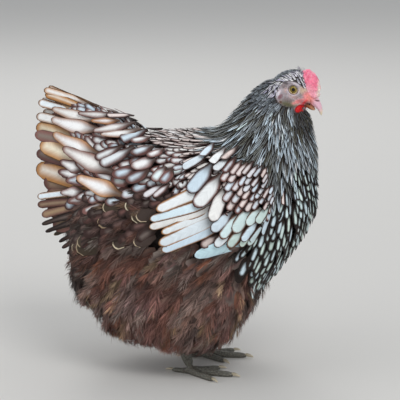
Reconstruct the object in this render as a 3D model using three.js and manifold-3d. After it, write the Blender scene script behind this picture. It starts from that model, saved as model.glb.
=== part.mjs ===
// A standing laced hen, life size, as a scene graph of closed solids that reach out to the feather tips.
// Millimetres, +Z up, +X towards the beak, +Y to the hen's left.
import * as THREE from "three";
import { mergeVertices } from "three/addons/utils/BufferGeometryUtils.js";
import Module from "manifold-3d";

const wasm = await Module();
wasm.setup();

// ---------------------------------------------------------------- driving dimensions

const SEAM = 0.35; // clear gap between neighbouring pieces
const REACH = 900; // size of a cutting block, larger than the bird
const SIDES = { left: 1, right: -1 }; // which way each side lies along Y

// A soft form is a row of stations from one pole to the other.
// Each gives its upper point x, z, its lower point x, z, and the half width between them.
const TRUNK = [
  [-130, 180, -130, 180, 0],
  [-134, 262, -131, 101, 84],
  [-98, 312, -106, 74, 111],
  [-42, 328, -50, 66, 121],
  [20, 334, 10, 62, 123],
  [82, 337, 62, 72, 117],
  [142, 320, 106, 104, 102],
  [182, 286, 150, 150, 74],
  [196, 228, 196, 228, 0],
];
const RUMP = [
  [-166, 262, -166, 262, 0],
  [-160, 350, -160, 200, 44],
  [-132, 367, -138, 162, 70],
  [-97, 354, -98, 140, 88],
  [-54, 332, -52, 150, 96],
  [0, 240, 0, 240, 0],
];
const NECK = [
  [96, 250, 96, 250, 0],
  [32, 304, 186, 236, 87],
  [50, 333, 195, 272, 69],
  [75, 357, 195, 306, 50],
  [99, 386, 190, 335, 37],
  [128, 407, 183, 359, 27],
  [160, 390, 160, 390, 0],
];
const THIGH = [
  [-106, 112, -106, 112, 0],
  [-84, 150, -90, 68, 34],
  [-30, 170, -36, 43, 50],
  [44, 170, 40, 36, 52],
  [92, 160, 86, 52, 46],
  [116, 136, 108, 88, 30],
  [120, 116, 120, 116, 0],
];
const THIGH_ASIDE = 64; // from the middle plane to the middle of a thigh's fluff

// The head has its own frame, midway between the eyes with x to the beak.
const HEAD_AT = [165.4, 0, 395.2];
const HEAD_PITCH = 24; // degrees, beak down
const HEAD_YAW = -8; // degrees, to the hen's right
const HEAD = [
  [-35, -5, -35, -5, 0],
  [-27, 12, -28, -20, 16],
  [-13, 21.7, -12, -26, 20],
  [2, 25.6, 4, -25, 18],
  [15, 17, 16, -21, 14],
  [26, 7, 25, -17, 10],
  [33, -6, 33, -6, 0],
];
const UPPER_BEAK = [
  [17, -4, 17, -4, 0],
  [24, 5.5, 23, -11, 9.5],
  [32, 1, 31, -12.5, 7.5],
  [39.5, -5.5, 38, -14, 5.2],
  [45, -12.5, 42.5, -17, 3],
  [46.2, -19.5, 46.2, -19.5, 0],
];
const LOWER_BEAK = [
  [14, -13, 14, -13, 0],
  [20, -9, 20, -18, 7.6],
  [27, -11, 26.5, -18.5, 6],
  [32, -13, 31.5, -18.5, 4],
  [35.5, -16, 35.5, -16, 0],
];
const COMB = [
  [-3, 22.5, -3, 22.5, 0],
  [2.5, 29, 5, 14, 8],
  [12.5, 28.2, 9, 6, 11.5],
  [23, 21.5, 14.5, -1, 12],
  [28.8, 12.5, 20, -6, 10],
  [31, 3.5, 25.5, -7, 6.5],
  [31.5, -4, 31.5, -4, 0],
];
const COMB_KNOBS = 4; // in each row over the comb
const COMB_RIDGE = [[1.5, 27], [11.5, 26.3], [21.3, 20], [26.8, 11.5], [29, 3]]; // x, z of the middle row
const COMB_ROW = 7; // from the middle row to a side row
const COMB_FALL = 3; // how much lower the side rows lie
const COMB_KNOB = 3.8; // a knob's radius
const EYE_RADIUS = 7.5;
const EYE_ASIDE = 11.6; // from the middle plane to an eyeball's centre
const WATTLE = { at: [14.5, 10.5, -21.5], size: [6, 3.4, 7] };
const EARLOBE = { at: [-8, 18.5, -16], size: [5, 3, 7] };

// Each side of the tail is a fan of broad feathers about one point, and the two lean together as a tent.
const TAIL_ROOT = [-52, 270]; // x, z
const TAIL_FEATHERS = 8;
const TAIL_TOP = 45; // degrees above the level, at the top feather
const TAIL_BOTTOM = -34;
const TAIL_REACH = [177, 151, 139, 149]; // root to feather tips, from the top to the bottom
const TAIL_ASIDE = [5, 34, 58, 66]; // from the middle plane to the tips, from the top to the bottom
const TAIL_NOTCH = 11; // depth of the notch between two feather tips
const TAIL_SHINGLE = 3; // step from one feather down to the next
const TAIL_RIM = 2.6; // thickness at the tips
const TAIL_START = 20; // from the fan's point to the start of the solid
const TAIL_LEAN = 0.35; // share of its distance aside that a feather has at its root
const TAIL_SOLID = 0.6; // share of the reach up to which the two sides fill the tent

// A wing is feathers laid on the trunk. Each row runs from its first feather to its last. A feather is an
// oval seen from the side, from its root x, z to its tip x, z, with a width and a height over the body.
const WING_ROWS = [
  { count: 1, roots: [[118, 208], [118, 208]], tips: [[46, 175], [46, 175]], width: 24, heights: [4, 4] },
  { count: 6, roots: [[108, 214], [88, 278]], tips: [[8, 189], [-10, 238]], width: 21, heights: [6, 9] },
  { count: 5, roots: [[134, 216], [70, 312]], tips: [[84, 196], [26, 274]], width: 34, heights: [8, 12] },
];
const SHOULDER = [[66, 236], [100, 206], [132, 216], [142, 246], [128, 290], [90, 314], [50, 306]];
const SHOULDER_HEIGHT = 12;

const SHANK = [
  [26, 8, 26, 8, 0],
  [16, 20, 32, 16, 7.4],
  [12, 38, 26, 36, 6.2],
  [2, 60, 16, 58, 6.4],
  [-10, 80, 6, 78, 8],
  [-4, 88, -4, 88, 0],
];
const FOOT_AT = [26, 44]; // x and distance from the middle plane, where the toes meet
const PAD_CUT = 0.8; // how deep the floor cuts the round toe pads flat
const TOES = {
  middle: { length: 62, turn: 4, thick: 10.5 },
  inner: { length: 46, turn: -36, thick: 9.5 },
  outer: { length: 50, turn: 38, thick: 9.5 },
  back: { length: 26, turn: 196, thick: 8 },
};
const CLAW_LENGTH = 12;

// ---------------------------------------------------------------- shapes

// A sine or cosine made fuller, so that a circle turns into a rounded square.
function fill(value, square) {
  return Math.sign(value) * Math.pow(Math.abs(value), 2 / square);
}

// The shape with only its places left, and one vertex where there were several.
function bare(shape) {
  shape.deleteAttribute("normal");
  shape.deleteAttribute("uv");
  return mergeVertices(shape, 1e-4);
}

// Moves every vertex of a shape to where place puts it.
function moved(shape, place) {
  const points = shape.getAttribute("position");
  const point = new THREE.Vector3();
  for (let i = 0; i < points.count; i++) {
    point.fromBufferAttribute(points, i);
    point.copy(place(point, i));
    points.setXYZ(i, point.x, point.y, point.z);
  }
  return shape;
}

// The shape with every vertex moved out along its normal.
function swell(shape, by) {
  shape.computeVertexNormals();
  const normals = shape.getAttribute("normal");
  const normal = new THREE.Vector3();
  moved(shape, (point, i) => point.addScaledVector(normal.fromBufferAttribute(normals, i), by));
  shape.deleteAttribute("normal");
  return shape;
}

// A closed form through the stations: the rings of a sphere, spread between the upper and the lower line.
// heavy moves the widest place down, and square fills out the corners of each ring.
function loft(stations, { rings = 12, sides = 16, heavy = 0, square = 2, aside = 0 } = {}, grow = 0) {
  const lower = stations.slice(1, -1).reverse();
  const outline = new THREE.CatmullRomCurve3(
    [
      ...stations.map(([x, z, , , half]) => new THREE.Vector3(x, half, z)),
      ...lower.map(([, , x, z, half]) => new THREE.Vector3(x, -half, z)),
    ],
    true,
    "catmullrom",
    0.5,
  );
  const shape = moved(bare(new THREE.SphereGeometry(1, sides, rings)), (point) => {
    const along = Math.acos(THREE.MathUtils.clamp(point.y, -1, 1)) / Math.PI;
    const turn = Math.atan2(point.x, point.z);
    const top = outline.getPoint(along / 2);
    const under = outline.getPoint(1 - along / 2);
    const rise = fill(Math.cos(turn), square);
    const swing = fill(Math.sin(turn), square) * (1 - heavy * rise);
    const place = top.clone().lerp(under, (1 - rise) / 2);
    place.y = aside + (swing * (top.y - under.y)) / 2;
    return place;
  });
  return grow ? swell(shape, grow) : shape;
}

// A small lump, such as a lobe, at a place and with a half size along each axis.
function lump({ at, size }, side, grow = 0) {
  return new THREE.SphereGeometry(1, 10, 6)
    .scale(size[0] + grow, size[1] + grow, size[2] + grow)
    .translate(at[0], side * at[1], at[2]);
}

// The point a share of the way along a smooth line through points.
function pointAlong(points, share) {
  const curve = new THREE.SplineCurve(points.map(([x, y]) => new THREE.Vector2(x, y)));
  return curve.getPoint(THREE.MathUtils.clamp(share, 0, 1));
}

// The number a share of the way along a list, eased from one to the next.
function along(list, share) {
  return pointAlong(list.map((value, i) => [i, value]), share).y;
}

// One side of the tail: a slab whose long way runs from feather to feather, down the fan.
function tailSide(side) {
  const steps = 4; // edges across one feather
  const slab = bare(new THREE.BoxGeometry(1, 1, 1, TAIL_FEATHERS * steps, 1, 3)).translate(0.5, 0, 0.5);
  return moved(slab, (point) => {
    const down = point.x;
    const out = point.z;
    const across = (down * TAIL_FEATHERS) % 1; // 0 at the upper edge of a feather, 1 at the lower
    const angle = THREE.MathUtils.degToRad(THREE.MathUtils.lerp(TAIL_TOP, TAIL_BOTTOM, down));
    const notch = TAIL_NOTCH * Math.pow(Math.abs(2 * across - 1), 2.2);
    const reach = THREE.MathUtils.lerp(TAIL_START, along(TAIL_REACH, down) - notch, out);
    const spread = along(TAIL_ASIDE, down) * THREE.MathUtils.lerp(TAIL_LEAN, 1, out);
    const outer = spread + TAIL_SHINGLE * (across - 0.5) * out + TAIL_RIM / 2;
    const rim = THREE.MathUtils.smoothstep(out, TAIL_SOLID, 1);
    const inner = Math.min(THREE.MathUtils.lerp(-TAIL_RIM, outer - TAIL_RIM, rim), outer - TAIL_RIM);
    const aside = point.y * side > 0 ? outer : inner;
    return new THREE.Vector3(
      TAIL_ROOT[0] - reach * Math.cos(angle),
      side * aside,
      TAIL_ROOT[1] + reach * Math.sin(angle),
    );
  });
}

// A block with an outline seen from the side, standing on one side of the middle plane.
function sideBlock(outline, side) {
  const shape = new THREE.Shape(outline);
  const block = new THREE.ExtrudeGeometry(shape, { depth: REACH, bevelEnabled: false });
  return block.rotateX(Math.PI / 2).translate(0, side > 0 ? REACH : 0, 0);
}

// A smooth closed outline through points x, z.
function smoothOutline(points) {
  const curve = new THREE.CatmullRomCurve3(points.map(([x, z]) => new THREE.Vector3(x, z, 0)), true);
  return curve.getPoints(points.length * 2).slice(1).map(({ x, y }) => new THREE.Vector2(x, y));
}

// The outline of a feather from its root to its tip.
function featherOutline(from, to, width) {
  const way = to.clone().sub(from);
  const middle = from.clone().lerp(to, 0.5);
  return new THREE.EllipseCurve(
    middle.x, middle.y, way.length() / 2, width / 2, 0, 2 * Math.PI, false, way.angle(),
  ).getPoints(10).slice(1);
}

// The rows of a wing's feathers, each with its outline and its height over the body.
function wingFeathers() {
  const feathers = [{ outline: smoothOutline(SHOULDER), height: SHOULDER_HEIGHT }];
  for (const { count, roots, tips, width, heights } of WING_ROWS) {
    for (let i = 0; i < count; i++) {
      const share = i / Math.max(count - 1, 1);
      const between = (ends) => new THREE.Vector2(...ends[0]).lerp(new THREE.Vector2(...ends[1]), share);
      feathers.push({
        outline: featherOutline(between(roots), between(tips), width),
        height: THREE.MathUtils.lerp(...heights, share),
      });
    }
  }
  return feathers;
}

// A toe along x from where the toes meet, with pads that reach below the floor, to be cut flat.
function toeStations({ length, thick }) {
  const pad = (share, high, half) =>
    [length * share, thick * high, length * share, -PAD_CUT, thick * half];
  return [
    [-6, 5, -6, 5, 0],
    pad(0, 1.25, 0.56),
    pad(0.3, 1, 0.46),
    pad(0.55, 0.86, 0.47),
    pad(0.82, 0.8, 0.42),
    [length, thick * 0.66, length, 0.5, thick * 0.34],
    [length + 2, thick * 0.4, length + 2, thick * 0.4, 0],
  ];
}

// The claw at the end of that toe, bent down to just over the floor.
function clawStations({ length, thick }) {
  const tip = length + CLAW_LENGTH;
  return [
    [length - 3, thick * 0.4, length - 3, thick * 0.4, 0],
    [length, thick * 0.72, length, 2, 2],
    [length + CLAW_LENGTH * 0.6, thick * 0.55, length + CLAW_LENGTH * 0.5, 1.6, 1.6],
    [tip, 0.9, tip, 0.9, 0],
  ];
}

// ---------------------------------------------------------------- solids

// A shape as a solid with its faces out, also when a mirrored form turned them in.
function solid(shape) {
  const merged = shape.index && !shape.getAttribute("uv") ? shape : bare(shape);
  const vertProperties = new Float32Array(merged.getAttribute("position").array);
  const triVerts = new Uint32Array(merged.index.array);
  const made = new wasm.Manifold(new wasm.Mesh({ numProp: 3, vertProperties, triVerts }));
  if (made.volume() > 0) return made;
  triVerts.reverse();
  return new wasm.Manifold(new wasm.Mesh({ numProp: 3, vertProperties, triVerts }));
}

function joined(bodies) {
  return bodies.reduce((all, next) => all.add(next));
}

function cut(body, ...tools) {
  return tools.reduce((left, tool) => left.subtract(tool), body);
}

// The biggest of the bodies that a cut leaves, without its slivers.
function biggest(body) {
  return body.decompose().reduce((most, next) => (next.volume() > most.volume() ? next : most));
}

// A form both as it is and with the seam's room round it, for cutting its neighbours.
function form(make) {
  return { body: solid(make(0)), room: solid(make(SEAM)) };
}

const MATERIALS = {
  dark: { color: 0x3a2c28, roughness: 0.85 },
  silver: { color: 0xb8b0ac, roughness: 0.7 },
  fluff: { color: 0x5a3a34, roughness: 0.95 },
  comb: { color: 0xd8505a, roughness: 0.6 },
  horn: { color: 0xd8a88a, roughness: 0.45 },
  shank: { color: 0x6a6a58, roughness: 0.6 },
  eye: { color: 0x8a6a20, roughness: 0.1 },
};

const root = new THREE.Group();
function node(name, body, material, group = root) {
  const { vertProperties, triVerts } = biggest(body).getMesh();
  const shape = new THREE.BufferGeometry();
  shape.setAttribute("position", new THREE.BufferAttribute(vertProperties, 3));
  shape.setIndex(new THREE.BufferAttribute(triVerts, 1));
  shape.computeVertexNormals();
  const finish = new THREE.MeshStandardMaterial({ ...MATERIALS[material], metalness: 0 });
  const mesh = new THREE.Mesh(shape, finish);
  mesh.name = name;
  group.add(mesh);
}

// ---------------------------------------------------------------- head

const headGroup = new THREE.Group();
headGroup.position.set(...HEAD_AT);
headGroup.rotation.order = "ZYX";
headGroup.rotation.set(0, THREE.MathUtils.degToRad(HEAD_PITCH), THREE.MathUtils.degToRad(HEAD_YAW));
headGroup.updateMatrixWorld(true);
root.add(headGroup);

const headShape = (grow) => loft(HEAD, { rings: 12, sides: 16 }, grow);
const head = form(headShape);
const upperBeak = form((grow) => loft(UPPER_BEAK, { rings: 9, sides: 8 }, grow));
const lowerBeak = form((grow) => loft(LOWER_BEAK, { rings: 7, sides: 8 }, grow));
const eyes = {};
for (const [name, side] of Object.entries(SIDES)) {
  eyes[name] = form((grow) =>
    new THREE.SphereGeometry(EYE_RADIUS + grow, 12, 7).translate(0, side * EYE_ASIDE, 0),
  );
  node("eye_" + name, eyes[name].body, "eye", headGroup);
  for (const [lobe, place] of Object.entries({ wattle: WATTLE, earlobe: EARLOBE })) {
    const soft = solid(lump(place, side));
    node(lobe + "_" + name, cut(soft, head.room, lowerBeak.room), "comb", headGroup);
  }
}
const faceTools = [upperBeak.room, lowerBeak.room, eyes.left.room, eyes.right.room];
node("head", cut(head.body, ...faceTools), "dark", headGroup);
node("beak_upper", upperBeak.body, "horn", headGroup);
node("beak_lower", cut(lowerBeak.body, upperBeak.room), "horn", headGroup);

// The comb is a low cushion with rows of knobs, the middle row the highest.
const knobs = [];
for (const row of [-1, 0, 1]) {
  for (let i = 0; i < COMB_KNOBS; i++) {
    const share = (i + (row === 0 ? 0.5 : 1)) / (COMB_KNOBS + 0.5);
    const at = pointAlong(COMB_RIDGE, share);
    const place = [at.x, row * COMB_ROW, at.y - Math.abs(row) * COMB_FALL];
    knobs.push(solid(new THREE.IcosahedronGeometry(COMB_KNOB).translate(...place)));
  }
}
const comb = loft(COMB, { rings: 9, sides: 10, square: 2.4 });
node("comb", cut(joined([solid(comb), ...knobs]), head.room, upperBeak.room), "comb", headGroup);

// ---------------------------------------------------------------- neck, trunk and tail

const inWorld = (shape) => shape.applyMatrix4(headGroup.matrixWorld);
const headRoom = joined([
  solid(inWorld(headShape(SEAM))),
  ...Object.values(SIDES).flatMap((side) => [
    solid(inWorld(lump(WATTLE, side, SEAM))),
    solid(inWorld(lump(EARLOBE, side, SEAM))),
  ]),
]);
const neck = form((grow) => loft(NECK, { rings: 11, sides: 16 }, grow));
node("neck", cut(neck.body, headRoom), "silver");

const trunkShape = (grow) => loft(TRUNK, { rings: 14, sides: 20, heavy: 0.1, square: 2.15 }, grow);
const trunk = form(trunkShape);
const rump = form((grow) => loft(RUMP, { rings: 11, sides: 18, heavy: 0.2 }, grow));
node("trunk", cut(joined([trunk.body, rump.body]), neck.room), "dark");
const trunkRoom = joined([trunk.room, rump.room]);

const tail = joined(Object.values(SIDES).map((side) => solid(tailSide(side))));
node("tail", cut(tail, trunkRoom), "silver");

// ---------------------------------------------------------------- wings and legs

const floor = solid(new THREE.BoxGeometry(REACH, REACH, REACH).translate(0, 0, -REACH / 2));
for (const [name, side] of Object.entries(SIDES)) {
  const layers = wingFeathers().map(({ outline, height }) =>
    solid(trunkShape(height)).intersect(solid(sideBlock(outline, side))),
  );
  node("wing_" + name, cut(joined(layers), trunkRoom, neck.room), "silver");

  const thigh = form((grow) => loft(THIGH, { rings: 10, sides: 16, aside: side * THIGH_ASIDE }, grow));
  node("thigh_" + name, cut(thigh.body, trunkRoom), "fluff");

  const shank = form((grow) => loft(SHANK, { rings: 9, sides: 10, aside: side * FOOT_AT[1] }, grow));
  node("shank_" + name, cut(shank.body, thigh.room, floor), "shank");

  const toes = [];
  const claws = [];
  for (const [toe, sizes] of Object.entries(TOES)) {
    const swing = THREE.MathUtils.degToRad(side * sizes.turn);
    const lay = (shape) => shape.rotateZ(swing).translate(FOOT_AT[0], side * FOOT_AT[1], 0);
    toes.push(solid(lay(loft(toeStations(sizes), { rings: 7, sides: 6 }))));
    const claw = form((grow) => lay(loft(clawStations(sizes), { rings: 5, sides: 6 }, grow)));
    node(["claw", name, toe].join("_"), cut(claw.body, floor), "horn");
    claws.push(claw.room);
  }
  node("foot_" + name, cut(joined(toes), shank.room, floor, ...claws), "shank");
}

// The part's origin is the middle of the whole bird's box, on the floor.
const box = new THREE.Box3().setFromObject(root, true);
root.position.set(-(box.min.x + box.max.x) / 2, -(box.min.y + box.max.y) / 2, -box.min.z);

export default root;
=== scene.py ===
# %% [markdown]
# # A standing laced hen, life size
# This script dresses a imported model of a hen: one skin with a sculpted head, glass eyes, horn beak and
# claws, and a coat of real mesh feathers. A bird's outline is made by its feathers, so the solids of
# the frame reach out to the feather tips, and everything here is grown inwards from them: the skin is
# the solids' surface pushed in by the depth of the coat, and every feather is laid back over that
# surface.

# %% Load the frame
import math

import bmesh
import bpy
import numpy as np
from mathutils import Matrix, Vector, noise
from mathutils.bvhtree import BVHTree


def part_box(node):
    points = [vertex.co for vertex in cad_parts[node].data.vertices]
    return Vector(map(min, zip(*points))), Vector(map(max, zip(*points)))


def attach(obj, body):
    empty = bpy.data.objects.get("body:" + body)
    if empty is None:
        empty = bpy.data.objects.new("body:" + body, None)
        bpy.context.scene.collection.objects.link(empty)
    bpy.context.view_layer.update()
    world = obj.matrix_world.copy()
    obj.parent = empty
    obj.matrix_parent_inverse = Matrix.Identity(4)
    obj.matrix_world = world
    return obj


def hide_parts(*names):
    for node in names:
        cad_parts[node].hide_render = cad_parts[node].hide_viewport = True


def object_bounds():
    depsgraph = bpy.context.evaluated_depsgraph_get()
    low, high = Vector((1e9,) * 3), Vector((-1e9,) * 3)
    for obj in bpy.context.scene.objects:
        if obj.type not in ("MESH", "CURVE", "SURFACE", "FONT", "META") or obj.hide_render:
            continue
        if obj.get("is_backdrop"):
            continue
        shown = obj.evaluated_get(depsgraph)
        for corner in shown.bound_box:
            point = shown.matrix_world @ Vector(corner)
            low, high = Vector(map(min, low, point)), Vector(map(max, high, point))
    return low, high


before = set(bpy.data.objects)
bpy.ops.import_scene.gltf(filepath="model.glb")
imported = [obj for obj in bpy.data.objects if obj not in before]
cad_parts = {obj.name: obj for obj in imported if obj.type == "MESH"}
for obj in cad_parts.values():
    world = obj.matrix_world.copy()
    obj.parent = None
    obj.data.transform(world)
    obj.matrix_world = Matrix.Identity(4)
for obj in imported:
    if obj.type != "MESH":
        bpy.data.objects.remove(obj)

MM = 0.001
SIDES = {"left": 1, "right": -1}
cad_low, cad_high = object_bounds()
length, breadth, height = cad_high - cad_low
print("the hen is", [round(size / MM) for size in (length, breadth, height)], "mm long, broad and high")

# %% [markdown]
# ## Places on the bird
# Every place is a share of the hen's box, so that the script holds no measured points: `at(1, 0, 0.5)`
# is the foremost point of the middle plane at half the height, and a side of 1 or -1 mirrors a place to
# the left or the right.


# %% Turn shares of the box into points
def at(along, aside, up, side=1):
    """The point at these shares of the length, the half breadth and the height."""
    return Vector((cad_low.x + along * length, side * aside * breadth / 2, cad_low.z + up * height))


def spots(shares, side):
    """The same for several places on one side, as rows of an array."""
    return np.array([at(*share, side=side) for share in shares])


# %% [markdown]
# ## Camera, light and floor
# A hen is looked at from a little above, a few metres away. A long lens keeps its proportions true. The
# light is that of a bright overcast day: a pale sky all round, one large soft light from above and in
# front, and a weaker one from behind, which parts the tail and the back from the floor.


# %% Set up the camera
CAMERA_TURN = math.radians(12)
CAMERA_RISE = math.radians(12)
CAMERA_AWAY = 3.0
LENS = 197.1

looked_at = at(0.5732, 0, 0.5583)
outward = Vector((
    math.sin(CAMERA_TURN) * math.cos(CAMERA_RISE),
    -math.cos(CAMERA_TURN) * math.cos(CAMERA_RISE),
    math.sin(CAMERA_RISE),
))
camera = bpy.data.objects.new("camera", bpy.data.cameras.new("camera"))
camera.location = looked_at + CAMERA_AWAY * outward
camera.rotation_euler = (-outward).to_track_quat("-Z", "Y").to_euler()
camera.data.lens = LENS
bpy.context.scene.collection.objects.link(camera)
bpy.context.scene.camera = camera
print("the camera stands", CAMERA_AWAY, "m away with a lens of", LENS, "mm")


# %% Set up the light
def soft_light(name, place, size, power):
    """A square lamp that faces the middle of the bird."""
    lamp = bpy.data.objects.new(name, bpy.data.lights.new(name, "AREA"))
    lamp.data.shape = "SQUARE"
    lamp.data.size = size
    lamp.data.energy = power
    lamp.location = place
    lamp.rotation_euler = (looked_at - Vector(place)).to_track_quat("-Z", "Y").to_euler()
    bpy.context.scene.collection.objects.link(lamp)


LAMPS = {  # place, size in metres and power in watts
    "key": ((1.4, -2.2, 2.6), 1.6, 46),
    "fill": ((-2.4, -1.6, 1.4), 2.0, 15),
    "back": ((-0.8, 2.4, 2.2), 1.6, 26),
}
SKY_SHADE = (0.93, 0.96, 1.0, 1)
SKY_STRENGTH = 0.55

for name, lamp in LAMPS.items():
    soft_light(name, *lamp)
sky = bpy.data.worlds.new("sky")
sky.use_nodes = True
sky.node_tree.nodes["Background"].inputs["Color"].default_value = SKY_SHADE
sky.node_tree.nodes["Background"].inputs["Strength"].default_value = SKY_STRENGTH
bpy.context.scene.world = sky
bpy.context.scene.view_settings.view_transform = "Standard"
print("lit by a pale sky and", len(LAMPS), "soft lamps")

# %% [markdown]
# ## Shader maths as expressions
# A procedural finish is a sum of masks. `Value` wraps a node's output, so that `1 - mask * 0.4` adds
# its Math nodes, and `Finish` makes one material and any other node in it.


# %% Read a colour
def linear(code):
    """A colour such as "c8b49a", as the eye reads it, in the numbers that light works with."""
    parts = [int(code[i:i + 2], 16) / 255 for i in (0, 2, 4)]
    return np.array([p / 12.92 if p < 0.04045 else ((p + 0.055) / 1.055) ** 2.4 for p in parts])


# %% Wrap a node's output
class Value:
    """An output of a node. Arithmetic on it adds Math nodes."""

    def __init__(self, tree, socket):
        self.tree = tree
        self.socket = socket

    def maths(self, operation, *inputs):
        made = self.tree.nodes.new("ShaderNodeMath")
        made.operation = operation
        for socket, value in zip(made.inputs, inputs):
            feed(self.tree, socket, value)
        return Value(self.tree, made.outputs[0])

    def __add__(self, other):
        return self.maths("ADD", self, other)

    def __sub__(self, other):
        return self.maths("SUBTRACT", self, other)

    def __rsub__(self, other):
        return self.maths("SUBTRACT", other, self)

    def __mul__(self, other):
        return self.maths("MULTIPLY", self, other)

    __radd__ = __add__
    __rmul__ = __mul__


def feed(tree, socket, value):
    """Links a value to a socket, or sets the socket to it."""
    if isinstance(value, Value):
        tree.links.new(value.socket, socket)
    elif hasattr(value, "__len__") and socket.type == "RGBA":
        socket.default_value = (*value, 1)
    else:
        socket.default_value = value


# %% Build a finish
class Finish:
    """A material in the making, with a Principled shader."""

    def __init__(self, name, roughness, **uniform):
        self.material = bpy.data.materials.new(name)
        self.material.use_nodes = True
        self.tree = self.material.node_tree
        self.shader = self.tree.nodes["Principled BSDF"]
        self.set("Roughness", roughness)
        for socket, value in uniform.items():
            self.set(socket.replace("_", " "), value)

    def set(self, socket, value):
        feed(self.tree, self.shader.inputs[socket], value)

    def node(self, kind, settings, sockets, output=0):
        """Any node: its type, then its settings, then the values or links of its sockets."""
        made = self.tree.nodes.new("ShaderNode" + kind)
        for name, value in settings.items():
            setattr(made, name, value)
        for name, value in sockets.items():
            feed(self.tree, made.inputs[name], value)
        return Value(self.tree, made.outputs[output])

    def mix(self, mask, first, second, blend="MIX"):
        """From the first colour to the second as the mask goes from 0 to 1."""
        settings = {"data_type": "RGBA", "blend_type": blend}
        return self.node("Mix", settings, {0: mask, 6: first, 7: second}, output=2)

    def times(self, shade, light):
        """The colour made lighter or darker by a number."""
        grey = self.node("CombineColor", {}, {0: light, 1: light, 2: light})
        return self.mix(1.0, shade, grey, "MULTIPLY")

    def step(self, value, low, high):
        """A smooth step from 0 at low to 1 at high."""
        settings = {"interpolation_type": "SMOOTHSTEP"}
        return self.node("MapRange", settings, {"Value": value, "From Min": low, "From Max": high})

    def attribute(self, name, output="Color"):
        return self.node("Attribute", {"attribute_name": name}, {}, output=output)

    def parts(self, vector):
        """The three parts of a vector."""
        split = self.tree.nodes.new("ShaderNodeSeparateXYZ")
        feed(self.tree, split.inputs[0], vector)
        return [Value(self.tree, out) for out in split.outputs]

    def noise(self, place, scale, detail=2.0, roughness=0.5):
        sockets = {"Vector": place, "Scale": scale, "Detail": detail, "Roughness": roughness}
        return self.node("TexNoise", {}, sockets)

    def bump(self, height, strength, distance):
        sockets = {"Height": height, "Strength": strength, "Distance": distance}
        self.set("Normal", self.node("Bump", {}, sockets))


# %% [markdown]
# ## The floor
# A matt pale floor takes the bird's shadow and so shows where she stands.

# %% Lay the floor
FLOOR_REACH = 30  # metres from the middle to an edge, far enough that the camera sees none

floor_finish = Finish("pale_floor", 0.9)
floor_finish.set("Base Color", linear("d6d4d0"))
floor_mesh = bpy.data.meshes.new("floor")
floor_shape = bmesh.new()
bmesh.ops.create_grid(floor_shape, x_segments=2, y_segments=2, size=FLOOR_REACH)
floor_shape.to_mesh(floor_mesh)
floor_shape.free()
floor_mesh.materials.append(floor_finish.material)
floor = bpy.data.objects.new("floor", floor_mesh)
bpy.context.scene.collection.objects.link(floor)
floor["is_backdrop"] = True
print("the floor is", 2 * FLOOR_REACH, "m square")

# %% [markdown]
# ## The surface that the coat lies on
# The frame's solids meet with thin gaps. Copies of them are joined and wrapped in one closed surface by
# a voxel remesh, which fills the gaps and rounds the steps. That surface is only measured and then
# removed: a tree of its faces answers where the nearest surface is, and which way it faces, for every
# feather.


# %% Copy solids
def new_object(name, mesh):
    made = bpy.data.objects.new(name, mesh)
    bpy.context.scene.collection.objects.link(made)
    return made


def copied(nodes, name):
    """One object with copies of these solids, merged."""
    shape = bmesh.new()
    for node in nodes:
        shape.from_mesh(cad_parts[node].data)
    bmesh.ops.remove_doubles(shape, verts=shape.verts, dist=0.01 * MM)
    mesh = bpy.data.meshes.new(name)
    shape.to_mesh(mesh)
    shape.free()
    return new_object(name, mesh)


# %% Apply modifiers, and wrap a piece in one surface
def applied(piece):
    """Makes what the modifiers show the piece's own mesh."""
    shown = piece.evaluated_get(bpy.context.evaluated_depsgraph_get())
    mesh = bpy.data.meshes.new_from_object(shown)
    piece.modifiers.clear()
    spent = piece.data
    piece.data = mesh
    bpy.data.meshes.remove(spent)
    return piece


def wrapped(piece, voxel, smoothing=0):
    """The piece as one closed surface of even faces."""
    remesh = piece.modifiers.new("wrap", "REMESH")
    remesh.mode = "VOXEL"
    remesh.voxel_size = voxel
    if smoothing:
        smooth = piece.modifiers.new("smooth", "SMOOTH")
        smooth.iterations = smoothing
    return applied(piece)


# %% Read a mesh
def numbers(items, name, width, kind=float):
    """A property of every item of a mesh as an array."""
    found = np.zeros(len(items) * width, kind)
    items.foreach_get(name, found)
    return found.reshape(-1, width) if width > 1 else found


def tree_of(piece):
    """A tree of the piece's faces, which finds the one nearest to a point or met by a ray."""
    shape = bmesh.new()
    shape.from_mesh(piece.data)
    found = BVHTree.FromBMesh(shape)
    shape.free()
    return found


def discard(piece):
    mesh = piece.data
    bpy.data.objects.remove(piece)
    bpy.data.meshes.remove(mesh)


# %% Wrap the solids that bear feathers
COAT_NODES = ["head", "neck", "trunk", "wing_left", "wing_right", "thigh_left", "thigh_right"]
COAT_VOXEL = 3.2 * MM

coat_form = wrapped(copied(COAT_NODES, "coat_form"), COAT_VOXEL, smoothing=6)
coat_tree = tree_of(coat_form)
face_centres = numbers(coat_form.data.polygons, "center", 3)
face_normals = numbers(coat_form.data.polygons, "normal", 3)
face_areas = numbers(coat_form.data.polygons, "area", 1)
tail_tree = tree_of(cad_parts["tail"])
print("the coat lies over", len(face_areas), "faces and", round(face_areas.sum(), 3), "square metres")

# %% [markdown]
# ## The lie of the coat
# Feathers point away from the beak: back over the crown, down the neck, back along the wings, up
# towards the tail above and down into the fluff below. A few guides say so at places all over the bird.
# Anywhere between them the direction is the guides' mean, weighted by nearness and laid flat on the
# surface.


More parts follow.
